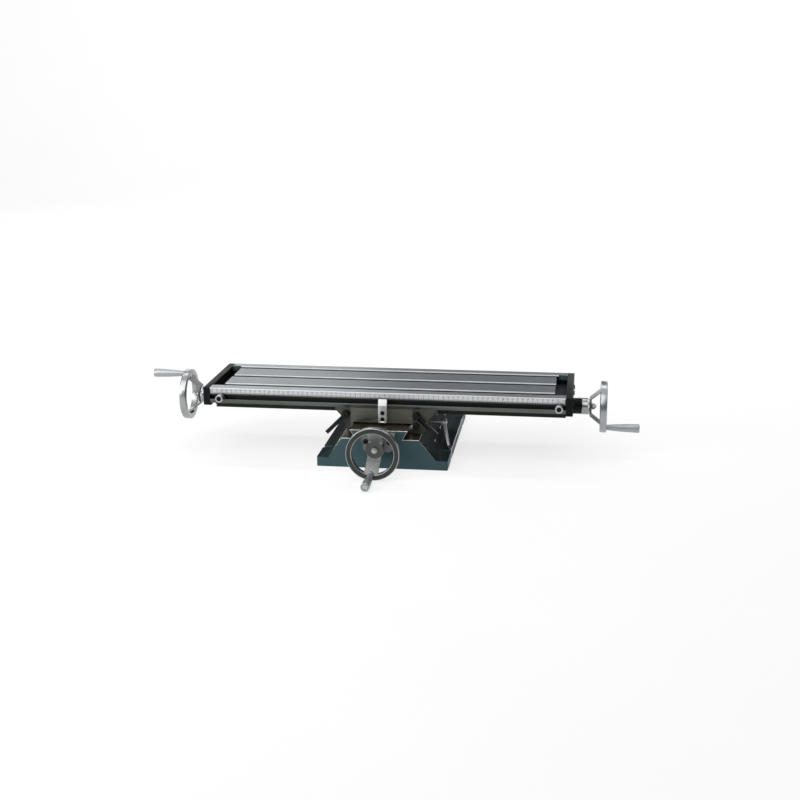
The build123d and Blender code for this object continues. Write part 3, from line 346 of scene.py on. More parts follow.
class Piece:
    """One mesh put together from patches, each a list of points and faces with a paint of its own."""

    def __init__(self, *paints):
        self.paints = paints
        self.points = []
        self.faces = []
        self.slots = []

    def add(self, patch, place=None, paint=None):
        """Adds a patch in one of the piece's paints, or its first, moved by a matrix if one is given."""
        points, faces = patch
        start = len(self.points)
        self.points += [place @ Vector(point) if place else Vector(point) for point in points]
        self.faces += [[start + index for index in face] for face in faces]
        self.slots += [self.paints.index(paint) if paint else 0] * len(faces)

    def make(self, name, body, stands_for=(), place=None):
        """Makes the object, which rides on a body and stands for nodes."""
        mesh = bpy.data.meshes.new(name)
        mesh.from_pydata([tuple(point) for point in self.points], [], self.faces)
        for paint in self.paints:
            mesh.materials.append(paint)
        mesh.polygons.foreach_set("material_index", self.slots)
        shape = bmesh.new()
        shape.from_mesh(mesh)
        bmesh.ops.remove_doubles(shape, verts=shape.verts, dist=1e-6)
        bmesh.ops.recalc_face_normals(shape, faces=shape.faces)
        shape.to_mesh(mesh)
        shape.free()
        mesh.shade_smooth()
        mesh.set_sharp_from_angle(angle=PIECE_SHARP_TURN)
        piece = bpy.data.objects.new(name, mesh)
        bpy.context.scene.collection.objects.link(piece)
        if place:
            piece.matrix_world = place
        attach(piece, body)
        if stands_for:
            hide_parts(*stands_for)


def rings(stations, segments, closed=False):
    """Patch round Z through stations of (radius, height); a radius may be a function of the angle."""
    points = []
    for radius, height in stations:
        for index in range(segments):
            angle = math.tau * index / segments
            reach = radius(angle) if callable(radius) else radius
            points.append((reach * math.cos(angle), reach * math.sin(angle), height))
    faces = []
    bands = len(stations) if closed else len(stations) - 1
    for band in range(bands):
        low = band * segments
        high = (band + 1) % len(stations) * segments
        for index in range(segments):
            following = (index + 1) % segments
            faces.append((low + index, low + following, high + following, high + index))
    return points, faces


def loft(loops):
    """Patch through loops that have the same number of points, closed at both ends."""
    points = [point for loop in loops for point in loop]
    count = len(loops[0])
    faces = []
    for band in range(len(loops) - 1):
        low = band * count
        for index in range(count):
            following = (index + 1) % count
            faces.append((low + index, low + following, low + count + following, low + count + index))
    faces.append(tuple(reversed(range(count))))
    faces.append(tuple(range(len(points) - count, len(points))))
    return points, faces


def rounded(half_width, half_height, corner, steps=4):
    """Outline of a rectangle with round corners, as (across, up) pairs."""
    outline = []
    for quarter, (side, top) in enumerate(((1, 1), (-1, 1), (-1, -1), (1, -1))):
        for step in range(steps + 1):
            angle = math.radians(90 * (quarter + step / steps))
            outline.append((side * (half_width - corner) + corner * math.cos(angle),
                            top * (half_height - corner) + corner * math.sin(angle)))
    return outline


def hexagon(flats):
    """Radius of a hexagon as a function of the angle."""
    def radius(angle):
        off = (angle + math.pi / 6) % (math.pi / 3) - math.pi / 6
        return flats / 2 / math.cos(off)
    return radius


def knurl(radius, depth, teeth):
    """Radius of a straight knurl as a function of the angle."""
    def reach(angle):
        return radius - depth / 2 * (1 + math.cos(teeth * angle))
    return reach


def soften(shape, width, material):
    """Bevels the convex corners of a shape where there is room."""
    def roomy(edge):
        return all(other.calc_length() > 2.5 * width for vert in edge.verts for other in vert.link_edges)

    def sharp(edge):
        return edge.is_manifold and edge.is_convex and edge.calc_face_angle() > SMOOTH_TURN

    corners = [edge for edge in shape.edges if sharp(edge) and roomy(edge)]
    bmesh.ops.bevel(shape, geom=corners, offset=width, offset_type="OFFSET", segments=2, profile=0.5,
                    affect="EDGES", clamp_overlap=False, material=material)


def dress(node, paints, width, zone=None, edge=None, shift=(0, 0, 0)):
    """Makes a copy of a CAD node with softened corners, which stands for it.

    zone gives the paint of a face from its middle and normal; edge is the paint of the corners;
    shift moves the copy a little.
    """
    source = frame["nodes"][node]
    mesh = bpy.data.meshes.new(f"{node}_dressed")
    shape = bmesh.new()
    shape.from_mesh(source.data)
    bmesh.ops.remove_doubles(shape, verts=shape.verts, dist=2e-6)
    bmesh.ops.dissolve_limit(shape, angle_limit=math.radians(0.4), verts=shape.verts, edges=shape.edges)
    for face in shape.faces:
        face.material_index = paints.index(zone(face.calc_center_median(), face.normal)) if zone else 0
    if width:
        soften(shape, width, paints.index(edge) if edge else -1)
    bmesh.ops.translate(shape, vec=shift, verts=shape.verts)
    shape.to_mesh(mesh)
    shape.free()
    for paint in paints:
        mesh.materials.append(paint)
    mesh.shade_smooth()
    mesh.set_sharp_from_angle(angle=SMOOTH_TURN)
    piece = bpy.data.objects.new(mesh.name, mesh)
    bpy.context.scene.collection.objects.link(piece)
    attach(piece, source["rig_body"])
    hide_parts(node)


# Paints

table_low, table_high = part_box("table")

base_paint = painted("base_paint", (0.037, 0.076, 0.084), (0.027, 0.058, 0.065), 0.5)
# Painted shade: a much darker copy of the base's teal paint, for the faces that look upwards.
base_top_painted_shade = painted("base_top_painted_shade", (0.01, 0.024, 0.027), (0.006, 0.015, 0.017), 0.62, gloss=0.03)
dark_paint = painted("dark_paint", (0.0045, 0.0065, 0.0065), (0.0025, 0.004, 0.004), 0.5, gloss=0.1)
# Teal paint of the troughs, coloured lighter to lift it out of the troughs' shade: painted light.
trough_paint_painted_light = painted("trough_paint_painted_light", (0.07, 0.115, 0.11), (0.045, 0.078, 0.075), 0.45)
table_ground = ground("table_ground", (0.182, 0.209, 0.224), (0.122, 0.143, 0.155), "x", 0.36)
strip_ground = ground("strip_ground", (0.26, 0.282, 0.292), (0.18, 0.197, 0.206), "x", 0.34)
# Ground front face of the table, with a painted highlight: a near-white band along its top edge.
front_ground_and_highlight = banded("front_ground_and_highlight", (0.95, 0.96, 0.97), (0.14, 0.148, 0.141), table_high.z - 1.8 * MM)
table_cast = sprinkled("table_cast", (0.045, 0.047, 0.04), (0.022, 0.024, 0.02), 0.55, 0.4)
# Painted light on the slot walls that face the front: a painted highlight in a bright band under the top
# edge, and painted shade in the nearly black wall below it.
slot_wall_highlight_and_shade = banded("slot_wall_highlight_and_shade", (0.86, 0.88, 0.9), (0.022, 0.025, 0.027), table_high.z - 2.4 * MM)
# Painted shade: the T-slots' inner faces, the table's ground iron coloured nearly black.
slot_painted_shade = ground("slot_painted_shade", (0.03, 0.034, 0.037), (0.016, 0.018, 0.02), "x", 0.5)
# Painted shade: the inside of the side slot in the table's front, coloured nearly black.
side_slot_painted_shade = ground("side_slot_painted_shade", (0.006, 0.008, 0.008), (0.003, 0.004, 0.004), "x", 0.6, metallic=0.2)
bright_edge = ground("bright_edge", (0.74, 0.76, 0.77), (0.6, 0.62, 0.63), "x", 0.3)
way_ground = ground("way_ground", (0.2, 0.165, 0.125), (0.11, 0.09, 0.068), "y", 0.36)
saddle_ground = ground("saddle_ground", (0.16, 0.165, 0.14), (0.105, 0.108, 0.09), "x", 0.42)
saddle_cast = sprinkled("saddle_cast", (0.07, 0.073, 0.062), (0.035, 0.037, 0.031), 0.6, 0.4, 0.00012)
plate_paint = ground("plate_paint", (0.17, 0.185, 0.18), (0.11, 0.12, 0.118), "z", 0.45, metallic=0.4)
pointer_steel = ground("pointer_steel", (0.62, 0.64, 0.64), (0.5, 0.52, 0.52), "x", 0.36)
pointer_white = painted("pointer_white", (0.88, 0.88, 0.87), (0.8, 0.8, 0.79), 0.4)
black_steel = sprinkled("black_steel", (0.014, 0.014, 0.015), (0.007, 0.007, 0.008), 0.38, 0.7, 0.00001, 900)
lever_steel = ground("lever_steel", (0.5, 0.51, 0.51), (0.38, 0.39, 0.39), "all", 0.36, metallic=0.5)
plain_steel = ground("plain_steel", (0.56, 0.57, 0.58), (0.42, 0.43, 0.44), "y", 0.34)
turned_steel = turned("turned_steel", (0.5, 0.51, 0.52), (0.4, 0.41, 0.42), 0.26)
bronze = turned("bronze", (0.5, 0.32, 0.13), (0.36, 0.22, 0.09), 0.3)
brass = turned("brass", (0.66, 0.5, 0.2), (0.5, 0.37, 0.14), 0.28)
wheel_alloy = turned("wheel_alloy", (0.4, 0.41, 0.415), (0.3, 0.31, 0.315), 0.28)
# Painted reflection: the wheels' alloy coloured nearly black on the rims' outward faces, standing for the
# dark surroundings they mirror.
rim_face_painted_reflection = turned("rim_face_painted_reflection", (0.062, 0.068, 0.062), (0.04, 0.044, 0.04), 0.32)
# Painted reflection: the hub, the wheels' alloy coloured dark, standing for the dark surroundings it mirrors.
hub_painted_reflection = sprinkled("hub_painted_reflection", (0.125, 0.132, 0.12), (0.065, 0.069, 0.062), 0.42, 0.8, 0.00003, 500)
wheel_cast = sprinkled("wheel_cast", (0.33, 0.34, 0.335), (0.22, 0.23, 0.225), 0.45, 0.75, 0.00003, 500)
grip_alloy = turned("grip_alloy", (0.4, 0.42, 0.43), (0.32, 0.335, 0.345), 0.4, metallic=0.8)
knob_plastic = sprinkled("knob_plastic", (0.015, 0.015, 0.015), (0.01, 0.01, 0.01), 0.2, 0.0, 0.000004, 600)
ink = sprinkled("ink", (0.02, 0.02, 0.022), (0.01, 0.01, 0.012), 0.6, 0.0, 0.000002)
rule_steel = ruled("rule_steel", (0.6, 0.62, 0.63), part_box("scale_rule")[0].z)


# Castings

TABLE_MID_Y = (table_low.y + table_high.y) / 2
TABLE_HALF = (table_high.y - table_low.y) / 2
STRIP_WIDTH = 25 * MM
TABLE_RIM = 12 * MM
SLOT_DEPTH = 18 * MM
NECK_DEPTH = 10 * MM
TABLE_TROUGH_START = table_high.x - 23 * MM
SIDE_SLOT_TOP = 10 * MM
SIDE_SLOT_FOOT = 29 * MM
FRONT_FOOT = 33.5 * MM
WAY_RISE = 18 * MM
TAB_HEIGHT = 12 * MM
POINTER_SHIFT = Vector((2.5, 0, 1.2)) * MM
SPARE = 0.2 * MM


def table_zone(middle, normal):
    """Paint of a face of the table."""
    deep = table_high.z - middle.z
    across = abs(middle.y - TABLE_MID_Y)
    from_front = middle.y - table_low.y
    if normal.z > 0.9 and deep < SPARE:
        return strip_ground if across > TABLE_HALF - STRIP_WIDTH else table_ground
    if across < TABLE_HALF - TABLE_RIM and deep < SLOT_DEPTH + MM:
        if abs(middle.x) > TABLE_TROUGH_START - 0.5 * MM:
            return trough_paint_painted_light
        # Slot walls that face the front take a painted highlight over painted shade; the slots' other faces
        # take painted shade.
        return slot_wall_highlight_and_shade if normal.y < -0.3 and deep < NECK_DEPTH else slot_painted_shade
    # Inside of the side slot: painted shade.
    if SPARE < from_front < TABLE_RIM and SIDE_SLOT_TOP < deep < SIDE_SLOT_FOOT:
        return side_slot_painted_shade
    return front_ground_and_highlight if deep < FRONT_FOOT else table_cast


def dress_table():
    """The table and its end brackets."""
    paints = [table_ground, strip_ground, slot_painted_shade, trough_paint_painted_light, front_ground_and_highlight, table_cast, side_slot_painted_shade,
              slot_wall_highlight_and_shade]
    dress("table", paints, 0.6 * MM, table_zone)
    for side in ("left", "right"):
        dress(f"{side}_end_bracket", [dark_paint], 0.8 * MM)


def dress_saddle():
    """The saddle, its front face ground."""
    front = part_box("saddle")[0].y + 0.3 * MM

    def zone(middle, normal):
        if normal.y < -0.9 and middle.y < front:
            return saddle_ground
        return saddle_cast if abs(normal.z) < 0.9 else way_ground

    dress("saddle", [saddle_ground, saddle_cast, way_ground], 0.6 * MM, zone)


def dress_base():
    """The base, with worn edges and ground ways."""
    way_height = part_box("base")[1].z - WAY_RISE - SPARE

    def zone(middle, normal):
        if middle.z > way_height and abs(normal.y) < 0.5:
            return way_ground
        # Faces that look upwards take the painted shade; the others take the teal paint.
        return base_top_painted_shade if normal.z > 0.25 else base_paint

    dress("base", [base_paint, way_ground, bright_edge, base_top_painted_shade], 0.7 * MM, zone, bright_edge)


def dress_pointer():
    """The pointer block, with a white tab, where the photograph has it."""
    tab_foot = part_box("pointer_block")[1].z - TAB_HEIGHT

    def zone(middle, normal):
        return pointer_white if middle.z > tab_foot else pointer_steel

    dress("pointer_block", [pointer_steel, pointer_white], 0.5 * MM, zone, shift=POINTER_SHIFT)


dress_table()
dress_saddle()
dress_base()
dress("front_bracket", [plate_paint], 0.6 * MM)
dress_pointer()


# Bridge over the base's trough

TROUGH_WIDTH = 46 * MM
BASE_TROUGH_START = 24 * MM
BRIDGE_LENGTH = 34 * MM
BRIDGE_THICKNESS = 6 * MM
BRIDGE_SINK = 0.02 * MM


def make_trough_bridge():
    """Bridge of the base's dovetail over the cross screw, in front of the saddle."""
    low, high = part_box("base")
    middle = middle_of("y_leadscrew").x
    left, right = middle - TROUGH_WIDTH / 2 - GAP, middle + TROUGH_WIDTH / 2 + GAP
    start = low.y + BASE_TROUGH_START - GAP
    foot = high.z - BRIDGE_THICKNESS
    sections = []
    for distance, sunk in ((0, 0), (BRIDGE_LENGTH - MM, 0), (BRIDGE_LENGTH, MM)):
        y, top = start + distance, high.z - sunk - BRIDGE_SINK
        sections.append([(left, y, foot), (right, y, foot), (right, y, top), (left, y, top)])
    bridge = Piece(way_ground)
    bridge.add(loft(sections))
    bridge.make("trough_bridge", frame["nodes"]["base"]["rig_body"])


make_trough_bridge()


# Small pieces that keep their solid's shape

PLAIN_DRESS = {
    "front_bush": bronze, "end_bushes": bronze, "x_nut": bronze, "y_nut": bronze,
    "table_lock_pads": brass, "saddle_lock_pad": brass,
    "saddle_gib": plain_steel, "table_gib": plain_steel,
    "x_thrust_collars": plain_steel, "y_thrust_collar": plain_steel,
    "x_wheel_keys": plain_steel, "y_wheel_key": plain_steel,
    "left_stop_nut": black_steel, "right_stop_nut": black_steel,
    "left_stop_sleeve": plain_steel, "right_stop_sleeve": plain_steel,
    "left_lock_lever": black_steel, "right_lock_lever": black_steel,
    "saddle_lock_lever": lever_steel, "saddle_lock_screw": plain_steel, "saddle_lock_knob": knob_plastic,
    "x_nut_screws": black_steel, "y_nut_screws": black_steel,
    "table_gib_screws": black_steel,
}
for node, paint in PLAIN_DRESS.items():
    dress(node, [paint], 0.25 * MM)

dress("scale_rule", [rule_steel], 0)

# Shaft ends, each in a frame of its own: Z runs outwards from the bracket's face, X towards the grip

BOSS = 18 * MM
BRACKET = 14 * MM
OUTWARD = {"left": Vector((-1, 0, 0)), "right": Vector((1, 0, 0)), "front": Vector((0, -1, 0))}
SCREW_BODY = {"left": "x_screw", "right": "x_screw", "front": "y_screw"}


def seat_of(side):
    """Frame of a shaft's end."""
    outward = OUTWARD[side]
    low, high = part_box(f"{side}_dial")
    half = max((high - low).dot(outward), (low - high).dot(outward)) / 2
    middle = (low + high) / 2
    origin = middle - outward * (half + GAP + BOSS)
    reach = middle_of(f"{side}_grip") - middle
    across = (reach - outward * reach.dot(outward)).normalized()
    turn = Matrix((across, outward.cross(across), outward)).transposed().to_4x4()
    return Matrix.Translation(origin) @ turn


SEATS = {side: seat_of(side) for side in OUTWARD}

DIAL_RADIUS = 17.25 * MM
DIAL_START = BOSS + GAP
DIAL_LENGTH = 15.3 * MM
SLEEVE_RADIUS = 11 * MM
HUB_START = DIAL_START + DIAL_LENGTH + GAP
HUB_LENGTH = 4.1 * MM
HUB_END = HUB_START + HUB_LENGTH
HUB_RADIUS = 18.5 * MM
HUB_BACK_BEVEL = 0.8 * MM
HUB_FRONT_BEVEL = 1.2 * MM
WHEEL_RADIUS = 53.5 * MM
RIM_WIDTH = 11.5 * MM
RIM_THICKNESS = 13.6 * MM
RIM_REACH = 69 * MM
RIM_CORNER = 1.5 * MM
SPOKE_HALF = 14 * MM
SPOKE_THICKNESS = 5 * MM
SPOKE_CORNER = 1.6 * MM
SPOKE_RADII = [radius * MM for radius in (9, 13, 17, 18, 20, 26, 34, 40, 42, 44, 47)]
SPOKE_FACE = RIM_REACH - 0.8 * MM
GRIP_OFFSET = 44.5 * MM
GRIP_LENGTH = 68 * MM
GRIP_BOSS = 8 * MM
GRIP_BOSS_BEVEL = 0.6 * MM
GRIP_RADIUS = 9 * MM
NECK_RADIUS = 5.6 * MM
GRIP_FULL = 8 * MM
GRIP_CORNER = 1.5 * MM
GRIP_STEPS = 16
BULGE = 0.62
GRIP_BORE = 3.6 * MM
GRIP_SINK_RADIUS = 5.8 * MM
GRIP_SINK_DEPTH = 4.5 * MM
SPINDLE_RADIUS = 3.5 * MM
SPINDLE_DEPTH = 10 * MM
SPINDLE_HEAD = {"radius": 5.5 * MM, "height": 3.9 * MM, "slot_width": 1.4 * MM, "slot_depth": 1.6 * MM}
KNURL_LENGTH = 3.6 * MM
KNURL_DEPTH = 0.35 * MM
KNURL_TEETH = 60
GROOVE_DEPTH = 0.7 * MM
SEAT_RADIUS = 6 * MM
STUB_RADIUS = 3.5 * MM
NUT_FLATS = 11 * MM
NUT_HEIGHT = 6.5 * MM
NUT_BEVEL = 0.7 * MM
TO_GRIP = Matrix.Translation((GRIP_OFFSET, 0, 0))


def spoke_height(radius, upper):
    """How far along the shaft a spoke's lower or upper face lies at a radius."""
    inner = (HUB_RADIUS - MM, HUB_END) if upper else (HUB_RADIUS - 0.5 * MM, HUB_START)
    outer = (WHEEL_RADIUS - RIM_WIDTH, SPOKE_FACE if upper else SPOKE_FACE - SPOKE_THICKNESS)
    share = min(1, max(0, (radius - inner[0]) / (outer[0] - inner[0])))
    return inner[1] + share * (outer[1] - inner[1])


def spoke(direction):
    """Patch of one dished spoke, along +X or -X."""
    loops = []
    for radius in SPOKE_RADII:
        sunk = GAP if radius < HUB_RADIUS - MM else 0
        low, high = spoke_height(radius, False) + sunk, spoke_height(radius, True) - sunk
        middle, half = (low + high) / 2, (high - low) / 2
        loops.append([(direction * radius, direction * across, middle + up)
                      for across, up in rounded(SPOKE_HALF, half, SPOKE_CORNER)])
    return loft(loops)


def rim_profile():
    """Section of the rim as (radius, height) stations."""
    middle = WHEEL_RADIUS - RIM_WIDTH / 2
    up = RIM_REACH - RIM_THICKNESS / 2
    section = rounded(RIM_WIDTH / 2, RIM_THICKNESS / 2, RIM_CORNER)
    return [(middle + across, up + along) for across, along in section]


def make_wheel(side):
    """Two-spoke handwheel with its hub and the boss of its grip."""
    wheel = Piece(wheel_alloy, wheel_cast, rim_face_painted_reflection, hub_painted_reflection)
    around = rim_profile()
    flat = len(around) // 4
    wheel.add(rings(around[flat:] + around[:1], 144))
    wheel.add(rings(around[:flat], 144))
    # The rim's outward face takes the painted dark reflection.
    wheel.add(rings(around[flat - 1:flat + 1], 144), paint=rim_face_painted_reflection)
    hub = [
        (SEAT_RADIUS, HUB_START), (HUB_RADIUS - HUB_BACK_BEVEL, HUB_START),
        (HUB_RADIUS, HUB_START + HUB_BACK_BEVEL), (HUB_RADIUS, HUB_END - HUB_FRONT_BEVEL),
        (HUB_RADIUS - HUB_FRONT_BEVEL, HUB_END), (SEAT_RADIUS, HUB_END),
    ]
    # The hub takes the painted dark reflection.
    wheel.add(rings(hub, 72, closed=True), paint=hub_painted_reflection)
    sleeve = [(SEAT_RADIUS, DIAL_START), (SLEEVE_RADIUS, DIAL_START), (SLEEVE_RADIUS, HUB_START + MM),
              (SEAT_RADIUS, HUB_START + MM)]
    wheel.add(rings(sleeve, 48, closed=True))
    for direction in (1, -1):
        wheel.add(spoke(direction), paint=wheel_cast)
    foot = RIM_REACH - RIM_THICKNESS + MM
    boss = [(0, foot), (GRIP_BOSS, foot), (GRIP_BOSS, RIM_REACH - GRIP_BOSS_BEVEL),
            (GRIP_BOSS - GRIP_BOSS_BEVEL, RIM_REACH), (0, RIM_REACH)]
    wheel.add(rings(boss, 40), TO_GRIP)
    wheel.make(f"{side}_wheel_dressed", SCREW_BODY[side], [f"{side}_handwheel"], SEATS[side])


def make_dial(side):
    """Graduated ring with a knurled edge towards the wheel."""
    scale = graduated(f"{side}_dial_scale", (0.31, 0.32, 0.325), DIAL_START + 0.5 * MM)
    dial = Piece(scale, turned_steel)
    inner = SLEEVE_RADIUS + 0.08 * MM
    knurled = knurl(DIAL_RADIUS, KNURL_DEPTH, KNURL_TEETH)
    back = DIAL_RADIUS - 0.6 * MM
    face = DIAL_RADIUS - 0.1 * MM
    groove = DIAL_RADIUS - GROOVE_DEPTH
    end = DIAL_START + DIAL_LENGTH
    knurl_start = end - KNURL_LENGTH
    groove_start = knurl_start - 0.4 * MM
    scale_ring = [(back, DIAL_START), (face, DIAL_START + 0.5 * MM), (face, groove_start - 0.1 * MM),
                  (groove, groove_start)]
    knurled_ring = [(groove, groove_start), (groove, knurl_start), (knurled, knurl_start + 0.3 * MM),
                    (knurled, end - 0.5 * MM), (DIAL_RADIUS - 0.9 * MM, end), (inner, end),
                    (inner, DIAL_START), (back, DIAL_START)]
    dial.add(rings(scale_ring, 240))
    dial.add(rings(knurled_ring, 240), paint=turned_steel)
    dial.make(f"{side}_dial_dressed", f"{side}_dial", [f"{side}_dial"], SEATS[side])


def make_grip(side):
    """Revolving grip, turned about its spindle."""
    start = RIM_REACH + GAP
    end = start + GRIP_LENGTH
    outline = [(GRIP_BORE, start), (NECK_RADIUS - 0.5 * MM, start), (NECK_RADIUS, start + 0.5 * MM)]
    for step in range(1, GRIP_STEPS + 1):
        share = step / GRIP_STEPS
        swell = (1 + BULGE) * share - BULGE * share * share
        outline.append((NECK_RADIUS + (GRIP_RADIUS - NECK_RADIUS) * swell,
                        start + 0.5 * MM + share * (GRIP_LENGTH - GRIP_FULL - 0.5 * MM)))
    for step in range(5):
        angle = math.radians(90 * step / 4)
        outline.append((GRIP_RADIUS - GRIP_CORNER * (1 - math.cos(angle)),
                        end - GRIP_CORNER * (1 - math.sin(angle))))
    floor = end - GRIP_SINK_DEPTH
    outline += [(GRIP_SINK_RADIUS, end), (GRIP_SINK_RADIUS, floor), (GRIP_BORE, floor)]
    grip = Piece(grip_alloy)
    grip.add(rings(outline, 64, closed=True))
    grip.make(f"{side}_grip_dressed", f"{side}_grip", [f"{side}_grip"], SEATS[side] @ TO_GRIP)


HEAD_BEVEL = 0.4 * MM
HEAD_STEPS = 16


def slotted_head(radius, height, slot_width, slot_depth):
    """Patch of a round head on z=0 with a screwdriver slot across its top."""
    low = height - slot_depth
    reach = radius - HEAD_BEVEL
    edge = slot_width / 2
    points, faces = rings([(0, 0), (radius, 0), (radius, height - HEAD_BEVEL), (reach, height)], 36)
    half_turn = [math.pi * index / HEAD_STEPS for index in range(HEAD_STEPS + 1)]
    row = len(half_turn)
    for side in (1, -1):
        start = len(points)
        points += [(reach * math.cos(angle), side * max(reach * math.sin(angle), edge), height)
                   for angle in half_turn]
        points += [(reach * math.cos(angle), side * edge, height) for angle in half_turn]
        for here in range(start, start + HEAD_STEPS):
            faces.append((here, here + 1, here + row + 1, here + row))
        wall = len(points)
        points += [(-reach, side * edge, height), (reach, side * edge, height),
                   (reach, side * edge, low), (-reach, side * edge, low)]
        faces.append((wall, wall + 1, wall + 2, wall + 3))
    floor = len(points)
    points += [(-reach, -edge, low), (reach, -edge, low), (reach, edge, low), (-reach, edge, low)]
    faces.append((floor, floor + 1, floor + 2, floor + 3))
    return points, faces


def make_spindles():
    """Spindles of the grips, with slotted heads sunk in the grips' ends."""
    head = RIM_REACH + GAP + GRIP_LENGTH - GRIP_SINK_DEPTH + GAP
    start = RIM_REACH - SPINDLE_DEPTH
    rod = [(0, start), (SPINDLE_RADIUS, start), (SPINDLE_RADIUS, head)]
    groups = {"x_grip_spindles": ("left", "right"), "y_grip_spindle": ("front",)}
    for node, sides in groups.items():
        spindles = Piece(turned_steel)
        for side in sides:
            place = SEATS[side] @ TO_GRIP
            spindles.add(rings(rod, 32), place)
            spindles.add(slotted_head(**SPINDLE_HEAD), place @ Matrix.Translation((0, 0, head)))
        spindles.make(f"{node}_dressed", SCREW_BODY[sides[0]], [node])


def make_nuts():
    """Chamfered hexagon nuts on the wheels' hubs."""
    six = hexagon(NUT_FLATS)
    top = HUB_END + NUT_HEIGHT
    stations = [(STUB_RADIUS, HUB_END), (NUT_FLATS / 2, HUB_END), (six, HUB_END + NUT_BEVEL),
                (six, top - NUT_BEVEL), (NUT_FLATS / 2, top), (STUB_RADIUS, top)]
    groups = {"x_wheel_nuts": ("left", "right"), "y_wheel_nut": ("front",)}
    for node, sides in groups.items():
        nuts = Piece(lever_steel)
        for side in sides:
            nuts.add(rings(stations, 48, closed=True), SEATS[side])
        nuts.make(f"{node}_dressed", SCREW_BODY[sides[0]], [node])


def thread(start, end, radius, pitch, depth, segments=24):
    """Patch of a trapezoid thread round Z between two heights."""
    flats = ((radius - depth, 0.0), (radius - depth, 0.3), (radius, 0.45), (radius, 0.85))
    turns = int((end - start) / pitch) - 1
    points = []
    steps = turns * segments
    for step in range(steps + 1):
        angle = math.tau * step / segments
        for reach, share in flats:
            points.append((reach * math.cos(angle), reach * math.sin(angle),
                           start + pitch * (step / segments + share)))
    faces = []
    row = len(flats)
    for step in range(steps):
        for index in range(row):
            here = step * row + index
            if index < row - 1:
                faces.append((here, here + row, here + row + 1, here + 1))
            elif step + segments < steps:
                over = (step + segments) * row
                faces.append((here, here + row, over + row, over))
    return points, faces


THREAD_PITCH = 2.5 * MM
THREAD_DEPTH = 1.2 * MM
SCREW_RADIUS = 9 * MM
JOURNAL_RADIUS = 7 * MM
COLLAR_LENGTH = 4 * MM
X_SHOULDER = -BRACKET - 8.6 * MM
Y_SHOULDER = X_SHOULDER - 5 * MM
TAIL_BEVEL = 1.5 * MM


def end_stations(shoulder):
    """Stations of a screw's plain end, from its shoulder outwards."""
    end = HUB_END + NUT_HEIGHT + 3 * MM
    return [
        (SCREW_RADIUS, shoulder - COLLAR_LENGTH), (SCREW_RADIUS, shoulder - 0.5 * MM),
        (SCREW_RADIUS - 0.5 * MM, shoulder), (JOURNAL_RADIUS, shoulder), (JOURNAL_RADIUS, BOSS),
        (SEAT_RADIUS, BOSS), (SEAT_RADIUS, HUB_END - GAP), (STUB_RADIUS, HUB_END - GAP),
        (STUB_RADIUS, end - 0.6 * MM), (STUB_RADIUS - 0.6 * MM, end), (0, end),
    ]


def make_x_screw():
    """The table's leadscrew, plain at both ends and threaded between."""
    long = Piece(turned_steel)
    for side in ("left", "right"):
        long.add(rings(end_stations(X_SHOULDER), 48), SEATS[side])
    seat = SEATS["right"].translation
    along = Matrix.Translation((0, *seat.yz)) @ Matrix.Rotation(math.pi / 2, 4, "Y")
    collar = X_SHOULDER - COLLAR_LENGTH
    half = seat.x + collar
    root = SCREW_RADIUS - THREAD_DEPTH
    long.add(rings([(root, -half), (root, half)], 24), along)
    long.add(thread(-half, half, SCREW_RADIUS, THREAD_PITCH, THREAD_DEPTH), along)
    for side in ("left", "right"):
        long.add(rings([(SCREW_RADIUS - 2 * MM, collar), (SCREW_RADIUS, collar)], 48), SEATS[side])
    long.make("x_leadscrew_dressed", "x_screw", ["x_leadscrew"])


def make_y_screw():
    """The saddle's leadscrew, threaded to its rear end."""
    seat = SEATS["front"]
    tail = seat.translation.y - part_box("y_leadscrew")[1].y
    collar = Y_SHOULDER - COLLAR_LENGTH
    root = SCREW_RADIUS - THREAD_DEPTH
    short = Piece(turned_steel)
    short.add(rings(end_stations(Y_SHOULDER), 48), seat)
    shank = [(0, tail), (SCREW_RADIUS - TAIL_BEVEL, tail), (root, tail + TAIL_BEVEL), (root, collar),
             (SCREW_RADIUS, collar)]
    short.add(rings(shank, 48), seat)
    short.add(thread(tail + TAIL_BEVEL, collar, SCREW_RADIUS, THREAD_PITCH, THREAD_DEPTH), seat)
    short.make("y_leadscrew_dressed", "y_screw", ["y_leadscrew"])


for side in OUTWARD:
    make_wheel(side)
    make_dial(side)
    make_grip(side)
make_spindles()
make_nuts()
make_x_screw()
make_y_screw()


# Socket screws

SOCKET_BEVEL = 0.5 * MM
SHANK_BEVEL = 0.4 * MM
M6_SCREW = {"head": 10 * MM, "height": 6 * MM, "flats": 5 * MM, "shank": 6 * MM}
POINTER_SCREW = {"head": 8.8 * MM, "height": 5 * MM, "flats": 4 * MM, "shank": 5 * MM}
LOCK_SCREW = {"head": 13 * MM, "height": 5 * MM, "flats": 6 * MM, "shank": 10 * MM}
STOP_SCREW = {"head": 10 * MM, "height": 5 * MM, "flats": 5 * MM, "shank": 6 * MM}
M6_LENGTH = 18 * MM
POINTER_SCREW_LENGTH = 13.5 * MM
POINTER_SCREW_INSET = 4.25 * MM
SCREW_SINK = 4 * MM
END_SCREW_ROWS = [row * MM for row in (-83, -36, 36, 83)]


def socket_head(radius, height, flats, depth):
    """Patch of a socket screw's head standing on z=0."""
    side = knurl(radius, 0.18 * MM, 24)
    socket = hexagon(flats)
    stations = [
        (0, 0), (radius - SOCKET_BEVEL / 2, 0), (side, SOCKET_BEVEL / 2), (side, height - SOCKET_BEVEL),
        (radius - SOCKET_BEVEL, height), (socket, height), (socket, height - depth),
        (0, height - depth * 1.1),
    ]
    return rings(stations, 48)


